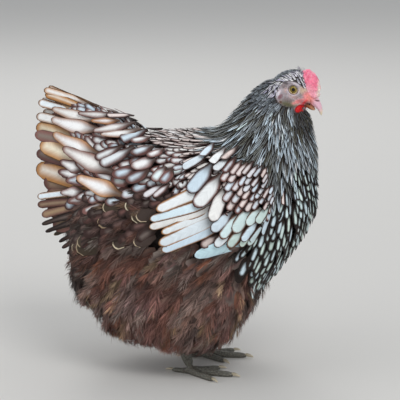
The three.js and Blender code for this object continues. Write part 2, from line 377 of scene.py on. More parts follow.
# %% Guide the feathers
GUIDES = [  # place, way (forward, outward, up), kind, then spacing, length and half width in mm
    ((0.888, 0.00, 0.989), (-0.95, 0.00, 0.12), "head", 2.4, 7, 1.3),  # crown
    ((0.811, 0.00, 0.939), (-0.75, 0.00, -0.66), "head", 2.8, 11, 1.6),  # nape
    ((0.861, 0.15, 0.909), (-0.80, 0.00, -0.60), "head", 2.2, 6, 1.1),  # cheek
    ((0.934, 0.09, 0.968), (-0.35, 0.05, 0.94), "brow", 2.7, 13, 1.7),  # brow, along the comb
    ((0.905, 0.12, 0.965), (-0.80, 0.05, 0.55), "brow", 2.9, 12, 1.8),  # behind the brow
    ((0.853, 0.13, 0.944), (-0.05, 0.10, -0.99), "brow", 2.0, 11, 1.0),  # ear coverts
    ((0.923, 0.09, 0.841), (-0.15, 0.05, -0.98), "throat", 2.8, 12, 1.4),  # throat
    ((0.945, 0.00, 0.872), (0.25, 0.00, -0.97), "throat", 2.4, 12, 1.3),  # chin
    ((0.870, 0.17, 0.856), (0.30, 0.05, -0.94), "hackle", 3.0, 26, 2.1),  # beside the throat
    ((0.747, 0.00, 0.888), (-0.76, 0.00, -0.65), "hackle", 3.6, 26, 2.0),  # top of the neck
    ((0.690, 0.00, 0.837), (-0.76, 0.00, -0.65), "hackle", 4.6, 42, 2.6),  # back of the neck
    ((0.602, 0.00, 0.772), (-0.95, 0.00, -0.30), "back", 6.5, 30, 3.8),  # foot of the neck
    ((0.802, 0.25, 0.847), (-0.40, 0.15, -0.90), "hackle", 3.6, 26, 2.0),  # under the cheek
    ((0.802, 0.33, 0.787), (-0.30, 0.25, -0.92), "hackle", 4.6, 44, 2.6),  # side of the neck
    ((0.835, 0.60, 0.715), (-0.16, 0.25, -0.95), "hackle", 5.4, 42, 3.1),  # cape
    ((0.750, 0.50, 0.790), (-0.50, 0.30, -0.80), "hackle", 5.4, 38, 3.1),  # back of the cape
    ((0.695, 0.62, 0.745), (-0.72, 0.30, -0.60), "back", 6.5, 26, 5.0),  # behind the cape
    ((0.942, 0.08, 0.795), (0.00, 0.00, -1.00), "hackle", 3.8, 26, 2.5),  # front of the neck
    ((0.987, 0.20, 0.625), (-0.08, 0.05, -1.00), "breast", 8.4, 27, 5.4),  # breast
    ((0.962, 0.20, 0.454), (-0.30, 0.05, -0.95), "breast", 10.0, 32, 6.8),  # front of the breast
    ((0.882, 0.20, 0.343), (-0.55, 0.00, -0.83), "breast", 11.0, 36, 7.6),  # low breast
    ((0.892, 0.66, 0.524), (-0.38, 0.10, -0.92), "breast", 9.4, 30, 6.4),  # side of the breast
    ((0.780, 0.75, 0.665), (-0.55, 0.10, -0.83), "wing", 6.2, 18, 4.6),  # shoulder
    ((0.662, 0.95, 0.575), (-0.86, 0.00, -0.51), "wing", 8.0, 24, 5.6),  # wing
    ((0.470, 0.95, 0.560), (-0.90, 0.00, -0.44), "under", 9.5, 32, 9.0),  # behind the wing
    ((0.652, 0.95, 0.424), (-0.70, 0.00, -0.70), "fluff", 10.0, 36, 9.0),  # under the wing
    ((0.522, 0.00, 0.787), (-1.00, 0.00, -0.04), "back", 7.5, 28, 4.6),  # back
    ((0.522, 0.70, 0.735), (-0.90, 0.20, -0.38), "saddle", 8.6, 22, 6.4),  # side of the back
    ((0.272, 0.00, 0.837), (-0.90, 0.00, 0.40), "saddle", 8.5, 32, 8.0),  # saddle
    ((0.390, 0.60, 0.700), (-0.95, 0.10, -0.12), "saddle", 9.0, 27, 9.4),  # side of the saddle
    ((0.232, 0.75, 0.484), (-0.92, 0.10, -0.38), "under", 11.0, 38, 9.5),  # beside the tail
    ((0.082, 0.00, 0.545), (-0.40, 0.20, -0.90), "under", 13.0, 46, 12.0),  # under the tail
    ((0.122, 0.45, 0.383), (-0.65, 0.15, -0.74), "under", 13.0, 46, 12.0),  # rear
    ((0.202, 0.10, 0.232), (-0.45, 0.10, -0.88), "fluff", 9.0, 44, 13.0),  # low rear
    ((0.382, 0.90, 0.424), (-0.70, 0.10, -0.70), "fluff", 10.0, 40, 12.0),  # flank
    ((0.482, 0.92, 0.292), (-0.22, 0.10, -0.97), "fluff", 9.0, 44, 13.0),  # belly
    ((0.472, 0.80, 0.171), (-0.20, 0.00, -0.98), "fluff", 9.0, 40, 12.0),  # thigh
    ((0.262, 0.70, 0.192), (-0.50, 0.10, -0.85), "fluff", 9.0, 42, 13.0),  # back of the thigh
    ((0.742, 0.50, 0.262), (-0.28, 0.05, -0.96), "fluff", 9.0, 36, 11.0),  # front of the thigh
    ((0.502, 0.00, 0.151), (-0.90, 0.00, -0.10), "fluff", 10.0, 36, 11.0),  # under the belly
]

# %% Spread the guides over both sides
KINDS = ["head", "brow", "throat", "hackle", "breast", "wing", "back", "saddle", "under", "fluff"]

guide_places = np.vstack([spots([guide[0] for guide in GUIDES], side) for side in SIDES.values()])
guide_ways = np.array([(x, side * y, z) for side in SIDES.values() for _, (x, y, z), *_ in GUIDES])
guide_ways /= np.linalg.norm(guide_ways, axis=1)[:, None]
guide_sizes = np.array([guide[3:] for guide in GUIDES] * 2) * MM
guide_kinds = np.array([[guide[2] == kind for kind in KINDS] for guide in GUIDES] * 2, float)
print(len(guide_places), "guides for", len(KINDS), "kinds of feather")


# %% Follow the guides
GUIDE_CORE = 0.013  # within this share of the length a guide is followed without its neighbours


def unit(vectors):
    """The vectors at a length of 1."""
    return vectors / np.maximum(np.linalg.norm(vectors, axis=-1, keepdims=True), 1e-12)


def eased(values):
    """A smooth step from 0 to 1."""
    values = np.clip(values, 0, 1)
    return values * values * (3 - 2 * values)


def dot(first, second):
    return (first * second).sum(-1, keepdims=True)


def guided(places, sharpness=2.0):
    """How much each guide counts at each place."""
    apart = ((places[:, None] - guide_places) ** 2).sum(-1)
    weights = (apart + (GUIDE_CORE * length) ** 2) ** -sharpness
    return weights / weights.sum(1, keepdims=True)


def lie(places, normals):
    """The direction in which a feather lies at each place of a surface."""
    ways = guided(places) @ guide_ways
    return unit(ways - dot(ways, normals) * normals)


# %% [markdown]
# ## Where the feathers grow
# Feathers grow a fairly even distance apart, closer on the head and wider on the belly. Darts are
# thrown at the surface in a fixed random order, and one sticks where no earlier one is nearer than the
# spacing there.


# %% Scatter roots over the surface
def surface_points(count, seed):
    """Random places on the coat's surface, with their normals."""
    random = np.random.default_rng(seed)
    faces = random.choice(len(face_areas), count, p=face_areas / face_areas.sum())
    jitter = random.uniform(-0.5, 0.5, (count, 3)) * COAT_VOXEL
    normals = face_normals[faces]
    return face_centres[faces] + jitter - dot(jitter, normals) * normals, normals


def scattered(places, spacing):
    """Which of these places to keep, so that none is nearer to another than its own spacing."""
    cell = float(spacing.max())
    cells = np.floor(places / cell).astype(int)
    grid, kept = {}, []
    around = [(i, j, k) for i in (-1, 0, 1) for j in (-1, 0, 1) for k in (-1, 0, 1)]
    for index, (place, gap) in enumerate(zip(places.tolist(), spacing.tolist())):
        a, b, c = cells[index]
        free = True
        for i, j, k in around:
            for x, y, z, other in grid.get((a + i, b + j, c + k), ()):
                reach = (gap + other) / 2
                if (x - place[0]) ** 2 + (y - place[1]) ** 2 + (z - place[2]) ** 2 < reach * reach:
                    free = False
                    break
            if not free:
                break
        if free:
            grid.setdefault((a, b, c), []).append((*place, gap))
            kept.append(index)
    return np.array(kept)


# %% [markdown]
# ## Quills that follow the body
# A feather bends with the body under it. A curve object could do this, but here thousands of quills are
# walked in even steps instead: to the nearest point of the surface, then on in the quill's heading,
# which is laid flat again at each step. The normals that are met on the way are evened out, so that no
# vane is wrung.


# %% Lay quills over the surface
def laid(roots, ways, reach, steps, straight=0.0):
    """The line of each quill over the surface from its root, and the surface's normals along it."""
    lines, ups = [], []
    for root, way, size in zip(roots, ways, reach):
        place, heading = Vector(root), Vector(way)
        pace = float(size) / (steps - 1)
        line, up = [], []
        for _ in range(steps):
            found, normal, _, _ = coat_tree.find_nearest(place)
            line.append(found.lerp(place, straight))
            up.append(normal)
            heading = (heading - heading.dot(normal) * normal * (1 - straight)).normalized()
            place = line[-1] + heading * pace
        lines.append(line)
        ups.append(up)
    lines, ups = np.array(lines), np.array(ups)
    for _ in range(2):
        ups[:, 1:-1] = ups[:, :-2] + 2 * ups[:, 1:-1] + ups[:, 2:]
        ups[:, 0] = 2 * ups[:, 0] + ups[:, 1]
        ups[:, -1] = 2 * ups[:, -1] + ups[:, -2]
        ups = unit(ups)
    return lines, ups


# %% [markdown]
# ## The head's own frame
# The hen turns her head a little to her right and holds it down. Eyelids, comb and beak are easier to
# shape in a frame that turns with it: ahead, left and up from the middle between the eyes, in
# millimetres. The eyes give the way to the left, and the pitch of the beak gives the way ahead.

# %% Find the head's own frame
HEAD_PITCH = math.radians(24)

eye_places = {}
for name in SIDES:
    low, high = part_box("eye_" + name)
    eye_places[name] = (low + high) / 2
head_middle = (eye_places["left"] + eye_places["right"]) / 2
head_left = (eye_places["left"] - eye_places["right"]).normalized()
level = head_left.cross(Vector((0, 0, 1)))
head_ahead = (level * math.cos(HEAD_PITCH) - Vector((0, 0, math.sin(HEAD_PITCH)))).normalized()
head_up = head_ahead.cross(head_left)
head_axes = np.array([head_ahead, head_left, head_up])
print("the eyes are", round((eye_places["left"] - eye_places["right"]).length / MM, 1), "mm apart")


def in_head(places):
    """Places as ahead, left and up from the middle between the eyes, in mm."""
    return (places - np.array(head_middle)) @ head_axes.T / MM


def from_head(head):
    """Distance in mm from the middle between the eyes, for places in the head's frame."""
    return np.linalg.norm(head, axis=1)


# %% [markdown]
# ## One skin
# The real bird has one skin, and so has the model: the coat's surface is pushed in by the depth of the
# feathers, joined with the head, comb, lobes and legs, and wrapped again, finely enough for a comb's
# pebbles. The hidden body is then thinned to large faces, so that almost all of them are left for the
# head and the feet.

# %% Choose what the skin wraps
COAT_DEPTHS = {  # of the feathers over the skin, in mm
    "head": 0.7, "brow": 0.7, "throat": 3, "hackle": 9, "breast": 13, "wing": 12, "back": 12,
    "saddle": 14, "under": 18, "fluff": 22,
}
BARE_NODES = ["comb", "wattle_left", "wattle_right", "earlobe_left", "earlobe_right"]
LEG_NODES = ["shank_left", "shank_right", "foot_left", "foot_right"]
SKIN_VOXEL = 1.15 * MM
FEET_TOP = 0.1 * height
UNSEEN_BEYOND = 48  # mm from the middle of the head
UNSEEN_SHARE = 0.12  # of its faces that the unseen skin keeps


# %% Join and move points
def joined(pieces, name):
    """Several pieces as one object."""
    shape = bmesh.new()
    for piece in pieces:
        shape.from_mesh(piece.data)
        discard(piece)
    mesh = bpy.data.meshes.new(name)
    shape.to_mesh(mesh)
    shape.free()
    return new_object(name, mesh)


def place_vertices(piece, places):
    piece.data.vertices.foreach_set("co", places.astype(np.float32).ravel())
    piece.data.update()


# %% Push the body in and wrap the skin
body = new_object("body", coat_form.data.copy())
body_places = numbers(body.data.vertices, "co", 3)
body_normals = numbers(body.data.vertices, "normal", 3)
depths = guided(body_places) @ guide_kinds @ np.array([COAT_DEPTHS[kind] for kind in KINDS]) * MM
place_vertices(body, body_places - body_normals * depths[:, None])
smooth = body.modifiers.new("smooth", "SMOOTH")
smooth.iterations = 12
applied(body)
bare_parts = copied(["head", *BARE_NODES, *LEG_NODES], "bare_parts")
skin = wrapped(joined([body, bare_parts], "skin"), SKIN_VOXEL)
print("the skin is wrapped in", len(skin.data.polygons), "faces")

# %% Thin the skin that the coat hides
skin_places = numbers(skin.data.vertices, "co", 3)
hidden = (from_head(in_head(skin_places)) > UNSEEN_BEYOND) & (skin_places[:, 2] > FEET_TOP)
thinned = skin.vertex_groups.new(name="thinned")
thinned.add(np.nonzero(hidden)[0].tolist(), 1.0, "REPLACE")
thin = skin.modifiers.new("thin", "DECIMATE")
thin.vertex_group = "thinned"
thin.ratio = UNSEEN_SHARE
applied(skin)
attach(skin, "root")
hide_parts(*COAT_NODES, "tail", *BARE_NODES, *LEG_NODES)
print("the skin keeps", len(skin.data.polygons), "faces")

# %% [markdown]
# ## Sculpting the head
# The solids give the head its form. What makes it alive is smaller: the ring of the eyelids round each
# eyeball, the folds under it, the pebbles of the comb and the fine wrinkles of the bare face. The faces
# there are divided first, then each point is moved by formulas in the head's own frame. The skin runs
# on unseen behind the eyeball, so the eye sits in it as deep as a real one. Where feathers grow, the
# skin is drawn in under them.

# %% Measure the face
OPENING = (5.3, 5.0)  # half the length and the height of the open eye, in mm
LID_COURSE = [  # how far out the skin lies, in mm, by distance from the eye's middle in openings
    (0.0, 16.0), (0.88, 16.2), (0.98, 17.9), (1.10, 18.3),
    (1.24, 18.15), (1.42, 17.5), (1.66, 17.7), (2.3, 18.0),
]
FACE_MIDDLE = (0.0, -7.0)  # of the bare face, ahead and up in mm
FACE_SIZE = (19.0, 17.0)
FOLDS = [(1.62, 0.55), (2.10, 0.45), (2.55, 0.30)]  # under the eye: distance in openings, height in mm
WATTLE = ((18.4, -20.4), (4.9, 5.2), 4.6)  # middle, half length and height, and how far it stands out
GAPE_FOLDS = [  # soft folds between the mouth's corner and the wattle: ends, half width and height in mm
    ((17.5, -17.0), (21.0, -6.5), 2.2, 1.6),
    ((10.0, -13.0), (19.0, -5.5), 1.8, 1.0),
    ((8.5, -16.5), (15.0, -12.5), 1.5, 0.7),
]
HEAD_WITHIN = 52  # mm from the middle between the eyes: the head, its bare face, and where faces are divided
FACE_WITHIN = 46
FINE_WITHIN = 44
DRAWN_IN = 2.0  # how deep the skin lies under the head's feathers, in mm
PEBBLE = 3.4  # size of the comb's pebbles and of the face's wrinkles in mm
WRINKLE = 2.8


# %% Divide faces and find neighbours
def refined(piece, chosen):
    """Divides the faces whose points are all chosen."""
    shape = bmesh.new()
    shape.from_mesh(piece.data)
    shape.verts.ensure_lookup_table()
    picked = {shape.verts[i] for i in np.nonzero(chosen)[0]}
    edges = [edge for edge in shape.edges if edge.verts[0] in picked and edge.verts[1] in picked]
    bmesh.ops.subdivide_edges(shape, edges=edges, cuts=1, use_grid_fill=True)
    shape.to_mesh(piece.data)
    shape.free()


def near_nodes(places, names, within):
    """Which places are nearer than this to any of these solids."""
    trees = [tree_of(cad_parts[name]) for name in names]
    return np.array([
        any(tree.find_nearest(Vector(place), within)[0] is not None for tree in trees)
        for place in places
    ])


# %% Measure from the eyes, the wattle and the folds
def round_eyes(head):
    """Distance from the nearer eye's middle in openings, for places in the head's frame."""
    apart = np.hypot(head[:, 0] / OPENING[0], head[:, 2] / OPENING[1])
    return np.where(np.abs(head[:, 1]) > 9, apart, 9.0)


def in_wattle(head):
    """Distance from the wattle's middle, 1 at its edge, for places in the head's frame."""
    (ahead, up), (long, high), _ = WATTLE
    return np.hypot((head[:, 0] - ahead) / long, (head[:, 2] - up) / high)


def bareness(head):
    """1 on the bare face and 0 where feathers grow, for places in the head's frame."""
    ahead, up = head[:, 0], head[:, 2]
    round_face = np.hypot((ahead - FACE_MIDDLE[0]) / FACE_SIZE[0], (up - FACE_MIDDLE[1]) / FACE_SIZE[1])
    lower_edge = -24 + 0.9 * (ahead - 12)
    front = eased((ahead - 10) / 4) * eased((9 - up) / 3) * eased((up - lower_edge) / 2)
    wattle = 1 - eased((in_wattle(head) - 1.0) / 0.3)
    return np.maximum(1 - eased((round_face - 0.92) / 0.16), np.maximum(front, wattle))


def off_fold(head, first, last):
    """Distance in mm from the line between two points, seen from the side of the head."""
    first, last = np.array(first), np.array(last)
    places = head[:, [0, 2]] - first
    share = np.clip(places @ (last - first) / ((last - first) ** 2).sum(), 0, 1)
    return np.linalg.norm(places - share[:, None] * (last - first), axis=1)


# %% Divide the faces of the head, and again round the eyes
head = in_head(numbers(skin.data.vertices, "co", 3))
refined(skin, (from_head(head) < FINE_WITHIN) & (bareness(head) > 0.3))
head = in_head(numbers(skin.data.vertices, "co", 3))
refined(skin, round_eyes(head) < 2.0)
print("the skin has", len(skin.data.polygons), "faces with the head's divided")

# %% Tell the parts of the head apart
skin_places = numbers(skin.data.vertices, "co", 3)
skin_normals = numbers(skin.data.vertices, "normal", 3)
head = in_head(skin_places)
on_head = from_head(head) < HEAD_WITHIN
beside = np.sign(head[:, 1]) * on_head * (np.abs(head[:, 1]) > 4)
part_of = {}
for part, names, within in (("comb", ["comb"], 1.4), ("lobe", BARE_NODES[3:], 1.0)):
    part_of[part] = np.zeros(len(head), bool)
    part_of[part][on_head] = near_nodes(skin_places[on_head], names, within * MM)
part_of["comb"] &= head[:, 2] > -6
part_of["wattle"] = (beside != 0) & (in_wattle(head) < 1.0)
print({part: int(found.sum()) for part, found in part_of.items()}, "points of the skin")

# %% Draw the skin in under the feathers
fleshy = part_of["comb"] | part_of["wattle"] | part_of["lobe"]
drawn_in = on_head * (1 - bareness(head)) * ~fleshy * DRAWN_IN
skin_places -= skin_normals * drawn_in[:, None] * MM
print("drawn in:", int((drawn_in > 1).sum()), "points")

# %% Raise the eyelids
eyewards = round_eyes(head)
wanted = np.interp(eyewards, *np.array(LID_COURSE).T)
below = eased((2 - head[:, 2]) / 5)
for far, high in FOLDS:
    wanted += high * below * np.exp(-(((eyewards - far) / 0.13) ** 2))
blend = 1 - eased((eyewards - 1.5) / 1.1)
moved_out = (wanted - np.abs(head[:, 1])) * blend * np.sign(head[:, 1])
skin_places += np.outer(moved_out * MM, head_axes[1])
print("the lids moved the skin by", round(float(np.abs(moved_out).max()), 1), "mm at most")

# %% Pebble the comb, wrinkle the face, and bulge the wattle and the gape
raised = np.zeros(len(head))
for index in np.nonzero(part_of["comb"])[0]:
    cells, _ = noise.voronoi(Vector(head[index]) / PEBBLE)
    raised[index] = 0.8 - 1.5 * cells[0]
for index in np.nonzero(on_head & ~part_of["comb"] & (eyewards > 1.25) & (bareness(head) > 0.1))[0]:
    raised[index] = 0.5 * noise.turbulence(Vector(head[index]) / WRINKLE, 3, True) - 0.25
bulged = WATTLE[2] * np.sqrt(np.clip(1 - in_wattle(head) ** 2, 0, 1))
for first, last, wide, high in GAPE_FOLDS:
    bulged = np.maximum(bulged, high * np.exp(-((off_fold(head, first, last) / wide) ** 2)))
skin_places += np.outer(bulged * (beside * ~part_of["comb"]) * MM, head_axes[1])
place_vertices(skin, skin_places + skin_normals * raised[:, None] * MM)
print("the comb has", int(part_of["comb"].sum()), "points, the skin", len(skin.data.polygons), "faces")

# %% [markdown]
# ## A vane
# A feather of the outer coat is a flat vane on a quill: narrow at the root, rounded or pointed at the
# tip, and a little cupped towards the body. All the vanes of a batch are worked out at once as arrays,
# a small grid of faces each, and joined into one mesh. Each point keeps how far it is from the vane's
# side and tip, because a laced feather is coloured by just that: a dark border of even width round a
# pale middle.


# %% Shape vanes on their quills
class Vane:
    """The shape that a kind of feather has."""

    def __init__(self, rows, columns, root, full, taper, tip, cup):
        self.rows = rows
        self.columns = columns
        self.root = root  # width at the root, as a share of the full width
        self.full = full  # where along the vane the full width is reached
        self.taper = taper  # share of the width that is lost by the tip
        self.tip = tip  # depth of the rounded tip, in half widths
        self.cup = cup  # how far the edges bend down, in half widths


def lifted(lines, ups, sink, lift):
    """The quills raised from sink under the surface at the root to lift over it at the tip."""
    rise = np.linspace(0, 1, lines.shape[1])[None, :, None]
    return lines + ups * (rise * (lift + sink)[:, None, None] - sink[:, None, None])


def along_quills(values, spot):
    """Values of the quills' points at these places along them, as fractions of a step."""
    first = np.minimum(spot.astype(int), values.shape[1] - 2)
    part = (spot - first)[..., None]
    which = np.arange(len(values)).reshape((-1,) + (1,) * (spot.ndim - 1))
    return values[which, first] * (1 - part) + values[which, first + 1] * part


# %% Work out a batch of vanes
ROWS_CROWD = 1.25  # above 1, the rows of faces stand closer towards the tip
NEARLY_ROUND = 0.985  # the share of a full circle that a rounded tip reaches at the vane's sides
SHORTEST = 0.6  # the most of its length that a rounded tip takes off a vane's side
ROLL = 0.10  # how far vanes turn about their quills, in radians
BARB_SLANT = 1.2  # how far a barb runs forward for each mm outwards
NO_SIDE = 30  # mm from the side, so that only the tip is laced


def vanes(lines, ups, half, vane, marks, random):
    """The arrays of a batch of vanes: points, faces and what each point knows of its vane."""
    count, steps = lines.shape[:2]
    reach = np.linalg.norm(np.diff(lines, axis=1), axis=2).sum(1)[:, None, None]
    half = half[:, None, None]
    across, along = np.meshgrid(
        np.linspace(-1, 1, vane.columns + 1),
        1 - (1 - np.linspace(0, 1, vane.rows + 1)) ** ROWS_CROWD,
    )
    rounded = 1 - np.sqrt(1 - (NEARLY_ROUND * across) ** 2)
    short = np.clip(vane.tip * half / reach, 0, SHORTEST) * rounded
    share = along * (1 - short)
    spot = share * (steps - 1)
    middle = along_quills(lines, spot)
    up = unit(along_quills(ups, spot))
    forward = along_quills(unit(np.gradient(lines, axis=1)), spot)
    aside = unit(np.cross(forward, up))
    roll = random.normal(0, ROLL, (count, 1, 1, 1))
    side_way = aside * np.cos(roll) + up * np.sin(roll)
    grown = vane.root + (1 - vane.root) * eased(along / vane.full)
    width = half * grown * (1 - vane.taper * eased((along - vane.full) / (1 - vane.full)))
    out = (width * across)[..., None]
    drop = (vane.cup * width * across**2)[..., None]
    points = middle + side_way * out - up * drop
    grid = np.arange((vane.rows + 1) * (vane.columns + 1)).reshape(vane.rows + 1, vane.columns + 1)
    corners = [grid[:-1, :-1], grid[:-1, 1:], grid[1:, 1:], grid[1:, :-1]]
    full = np.ones_like(share)
    keys = ("lace", "soft", "edge", "skew", "tip_only")
    each = {key: full * marks[key][:, None, None] for key in keys}
    inset = (1 - np.abs(across)) * width / MM * (1 + each["skew"] * across) + NO_SIDE * each["tip_only"]
    end = (1 - along) * reach * (1 - short) / MM
    shift = random.uniform(0, 400, (count, 1, 1))  # so that no two vanes share their streaks
    barb = share * reach / MM - BARB_SLANT * np.abs(across) * width / MM + shift
    shades = {
        key: np.concatenate([full[..., None] * marks[key][:, None, None], each[extra][..., None]], -1)
        for key, extra in (("centre", "soft"), ("rim", "edge"))
    }
    return {
        "points": points.reshape(count, -1, 3),
        "faces": np.stack(corners, -1).reshape(-1, 4),
        "inset": np.stack([inset, end, each["lace"]], -1).reshape(count, -1, 3),
        "barb": np.stack([barb, np.abs(across) * width / MM, along * full], -1).reshape(count, -1, 3),
        "centre": shades["centre"].reshape(count, -1, 4),
        "rim": shades["rim"].reshape(count, -1, 4),
        "cell": np.stack([(across + 1) / 2 * full, along * full], -1).reshape(count, -1, 2),
        "roots": lines[:, 0],
    }


# %% [markdown]
# ## Joining a batch of feathers
# The UV map OFBake is laid out so that each piece's colours can be baked onto one square image. Each
# feather has its own small cell there. Rows of cells follow the body from tail to beak and each row
# goes round it, so a cell lies where its feather's root does on the unrolled skin, and no two feathers
# share one.


# %% Lay out the cells of a piece
CELL_START = 0.06  # where a feather begins in its cell, and how much of the cell it fills
CELL_FILL = 0.88


def bake_cells(roots):
    """The corner of each feather's cell on the unrolled skin, and the size of a cell."""
    side = math.ceil(math.sqrt(len(roots)))
    turn = np.arctan2(roots[:, 1], roots[:, 2] - at(0, 0, 0.5).z)
    row = np.empty(len(roots), int)
    row[np.argsort(roots[:, 0], kind="stable")] = np.arange(len(roots)) // side
    column = np.empty(len(roots), int)
    order = np.lexsort((turn, row))
    column[order] = np.arange(len(roots)) - row[order] * side
    return np.stack([column, row], 1) / side, 1 / side


# %% Fill a mesh with faces
def fill_mesh(mesh, points, groups):
    """Gives a mesh its points and its faces, which come as arrays of triangles or quads."""
    sizes = np.concatenate([np.full(len(faces), faces.shape[1]) for faces in groups])
    mesh.vertices.add(len(points))
    mesh.vertices.foreach_set("co", points.astype(np.float32).ravel())
    mesh.loops.add(int(sizes.sum()))
    mesh.loops.foreach_set("vertex_index", np.concatenate([faces.ravel() for faces in groups]))
    mesh.polygons.add(len(sizes))
    mesh.polygons.foreach_set("loop_start", np.concatenate([[0], np.cumsum(sizes)[:-1]]))
    mesh.polygons.foreach_set("use_smooth", np.ones(len(sizes), bool))
    mesh.update(calc_edges=True)


# %% Join feathers into pieces
def coat_piece(name, batches, finish):
    """One mesh of all the feathers in these batches."""
    roots = np.vstack([batch["roots"] for batch in batches])
    corners, cell = bake_cells(roots)
    faces, places, begun, done = [], [], 0, 0
    for batch in batches:
        count, size = batch["points"].shape[:2]
        shift = (begun + np.arange(count) * size)[:, None, None]
        faces.append((batch["faces"][None] + shift).reshape(-1, batch["faces"].shape[1]))
        corner = corners[done:done + count, None]
        places.append((corner + cell * (CELL_START + CELL_FILL * batch["cell"])).reshape(-1, 2))
        begun += count * size
        done += count
    mesh = bpy.data.meshes.new(name)
    fill_mesh(mesh, np.vstack([batch["points"].reshape(-1, 3) for batch in batches]), faces)
    for key, kind, field in (
        ("inset", "FLOAT_VECTOR", "vector"),
        ("barb", "FLOAT_VECTOR", "vector"),
        ("centre", "FLOAT_COLOR", "color"),
        ("rim", "FLOAT_COLOR", "color"),
    ):
        values = np.concatenate([batch[key].reshape(-1, batch[key].shape[-1]) for batch in batches])
        layer = mesh.attributes.new(key, kind, "POINT")
        layer.data.foreach_set(field, values.astype(np.float32).ravel())
    layer = mesh.uv_layers.new(name="OFBake")
    at_points = np.vstack(places)[numbers(mesh.loops, "vertex_index", 1, int)]
    layer.data.foreach_set("uv", at_points.astype(np.float32).ravel())
    mesh.materials.append(finish.material)
    piece = new_object(name, mesh)
    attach(piece, "root")
    triangles = sum(len(quads) * (quads.shape[1] - 2) for quads in faces)
    print(name, "has", len(roots), "feathers of", triangles, "triangles")


# %% [markdown]
# ## The finish of a vane
# Under a lens a vane is a comb of barbs that run out from the quill and forwards. They show as fine
# streaks in the colour and as a fine bump. The lace is measured in millimetres from the edge, so it
# keeps its width on big and small feathers, and the streaks fray its inner edge. Its outermost line is
# darker still, partly the vane's own thin dark edge and partly painted shade that parts it from the
# feathers next to it. Towards the root the vane darkens too: partly its grey down, partly painted shade
# under the feathers that lie over it.


# %% Finish the vanes
def plumage_finish():
    """Laced vanes, coloured by what each point knows of its feather."""
    made = Finish("plumage", 0.6, Specular_IOR_Level=0.3)
    side, end, lace = made.parts(made.attribute("inset", "Vector"))
    along, aside, share = made.parts(made.attribute("barb", "Vector"))
    combed = made.node("CombineXYZ", {}, {"X": along * 0.9, "Y": aside * 0.13, "Z": 0.0})
    streaks = made.noise(combed, 1.0, 3.0, 0.6)
    blotch = made.noise(combed, 0.16, 1.0)
    near = side.maths("SMOOTH_MIN", side, end, 2.5) + (streaks - 0.5) * 1.3
    soft = made.attribute("centre", "Alpha")
    edge = made.attribute("rim", "Alpha")
    rim = made.attribute("rim", "Color")
    inner = made.step(near, lace - soft, lace + soft)
    shaded = made.mix(inner, rim, made.attribute("centre", "Color"))
    # painted shade: the outermost line of every vane is darkened, partly its own thin dark edge, partly
    # shade between neighbouring feathers
    outermost = made.step(near, edge + 0.7, edge) * made.step(edge, 0.0, 0.2)
    shaded = made.mix(outermost, shaded, made.mix(0.75, rim, linear("120b09")))
    # painted shade: towards its root every vane darkens, partly its own grey down, partly shade under the
    # feathers over it
    root = made.step(share, 0.42, 0.08) * 0.8
    shaded = made.mix(root, shaded, linear("35261f"))
    light = (streaks - 0.5) * 0.34 + (blotch - 0.5) * 0.30 + 1.0
    made.set("Base Color", made.times(shaded, light))
    quill = made.step(aside, 0.45, 0.15)
    made.bump(streaks * 0.6 + quill * 0.5, 0.5, 0.4 * MM)
    return made


plumage = plumage_finish()
print("the plumage is drawn by", len(plumage.tree.nodes), "nodes")

# %% [markdown]
# ## The colours of the plumage
# The hen is brown laced: a white or faintly blue or pink middle in a red-brown to chocolate border. The
# breast is darker, with narrow pale drops, the cape is the other way round with dark middles and silver
# edges, and the feathers below the tail are brown with a pale crescent at the tip.


# %% Name the shades
SHADES = {name: linear(code) for name, code in {
    "white": "fbfaf7", "pink": "f0ddd6", "frost": "d8ebf8", "sky": "d0efff", "mint": "d2e6dc",
    "cream": "f0e4c6", "tan": "b8824c", "gold": "8a5a30", "russet": "74453a", "umber": "55312c",
    "chocolate": "38201c", "dark": "211511", "black": "14110f", "silver": "a9b2b8", "slate": "5f6670",
    "violet": "b9b3cc", "moss": "55523c", "olive": "4a3f2c", "mauve": "7a5c5a", "red": "7c5242",
    "grey": "7d736c", "straw": "a58a6c", "soot": "3a2d29", "rim": "7d5650",
}.items()}
print(len(SHADES), "shades of feather")

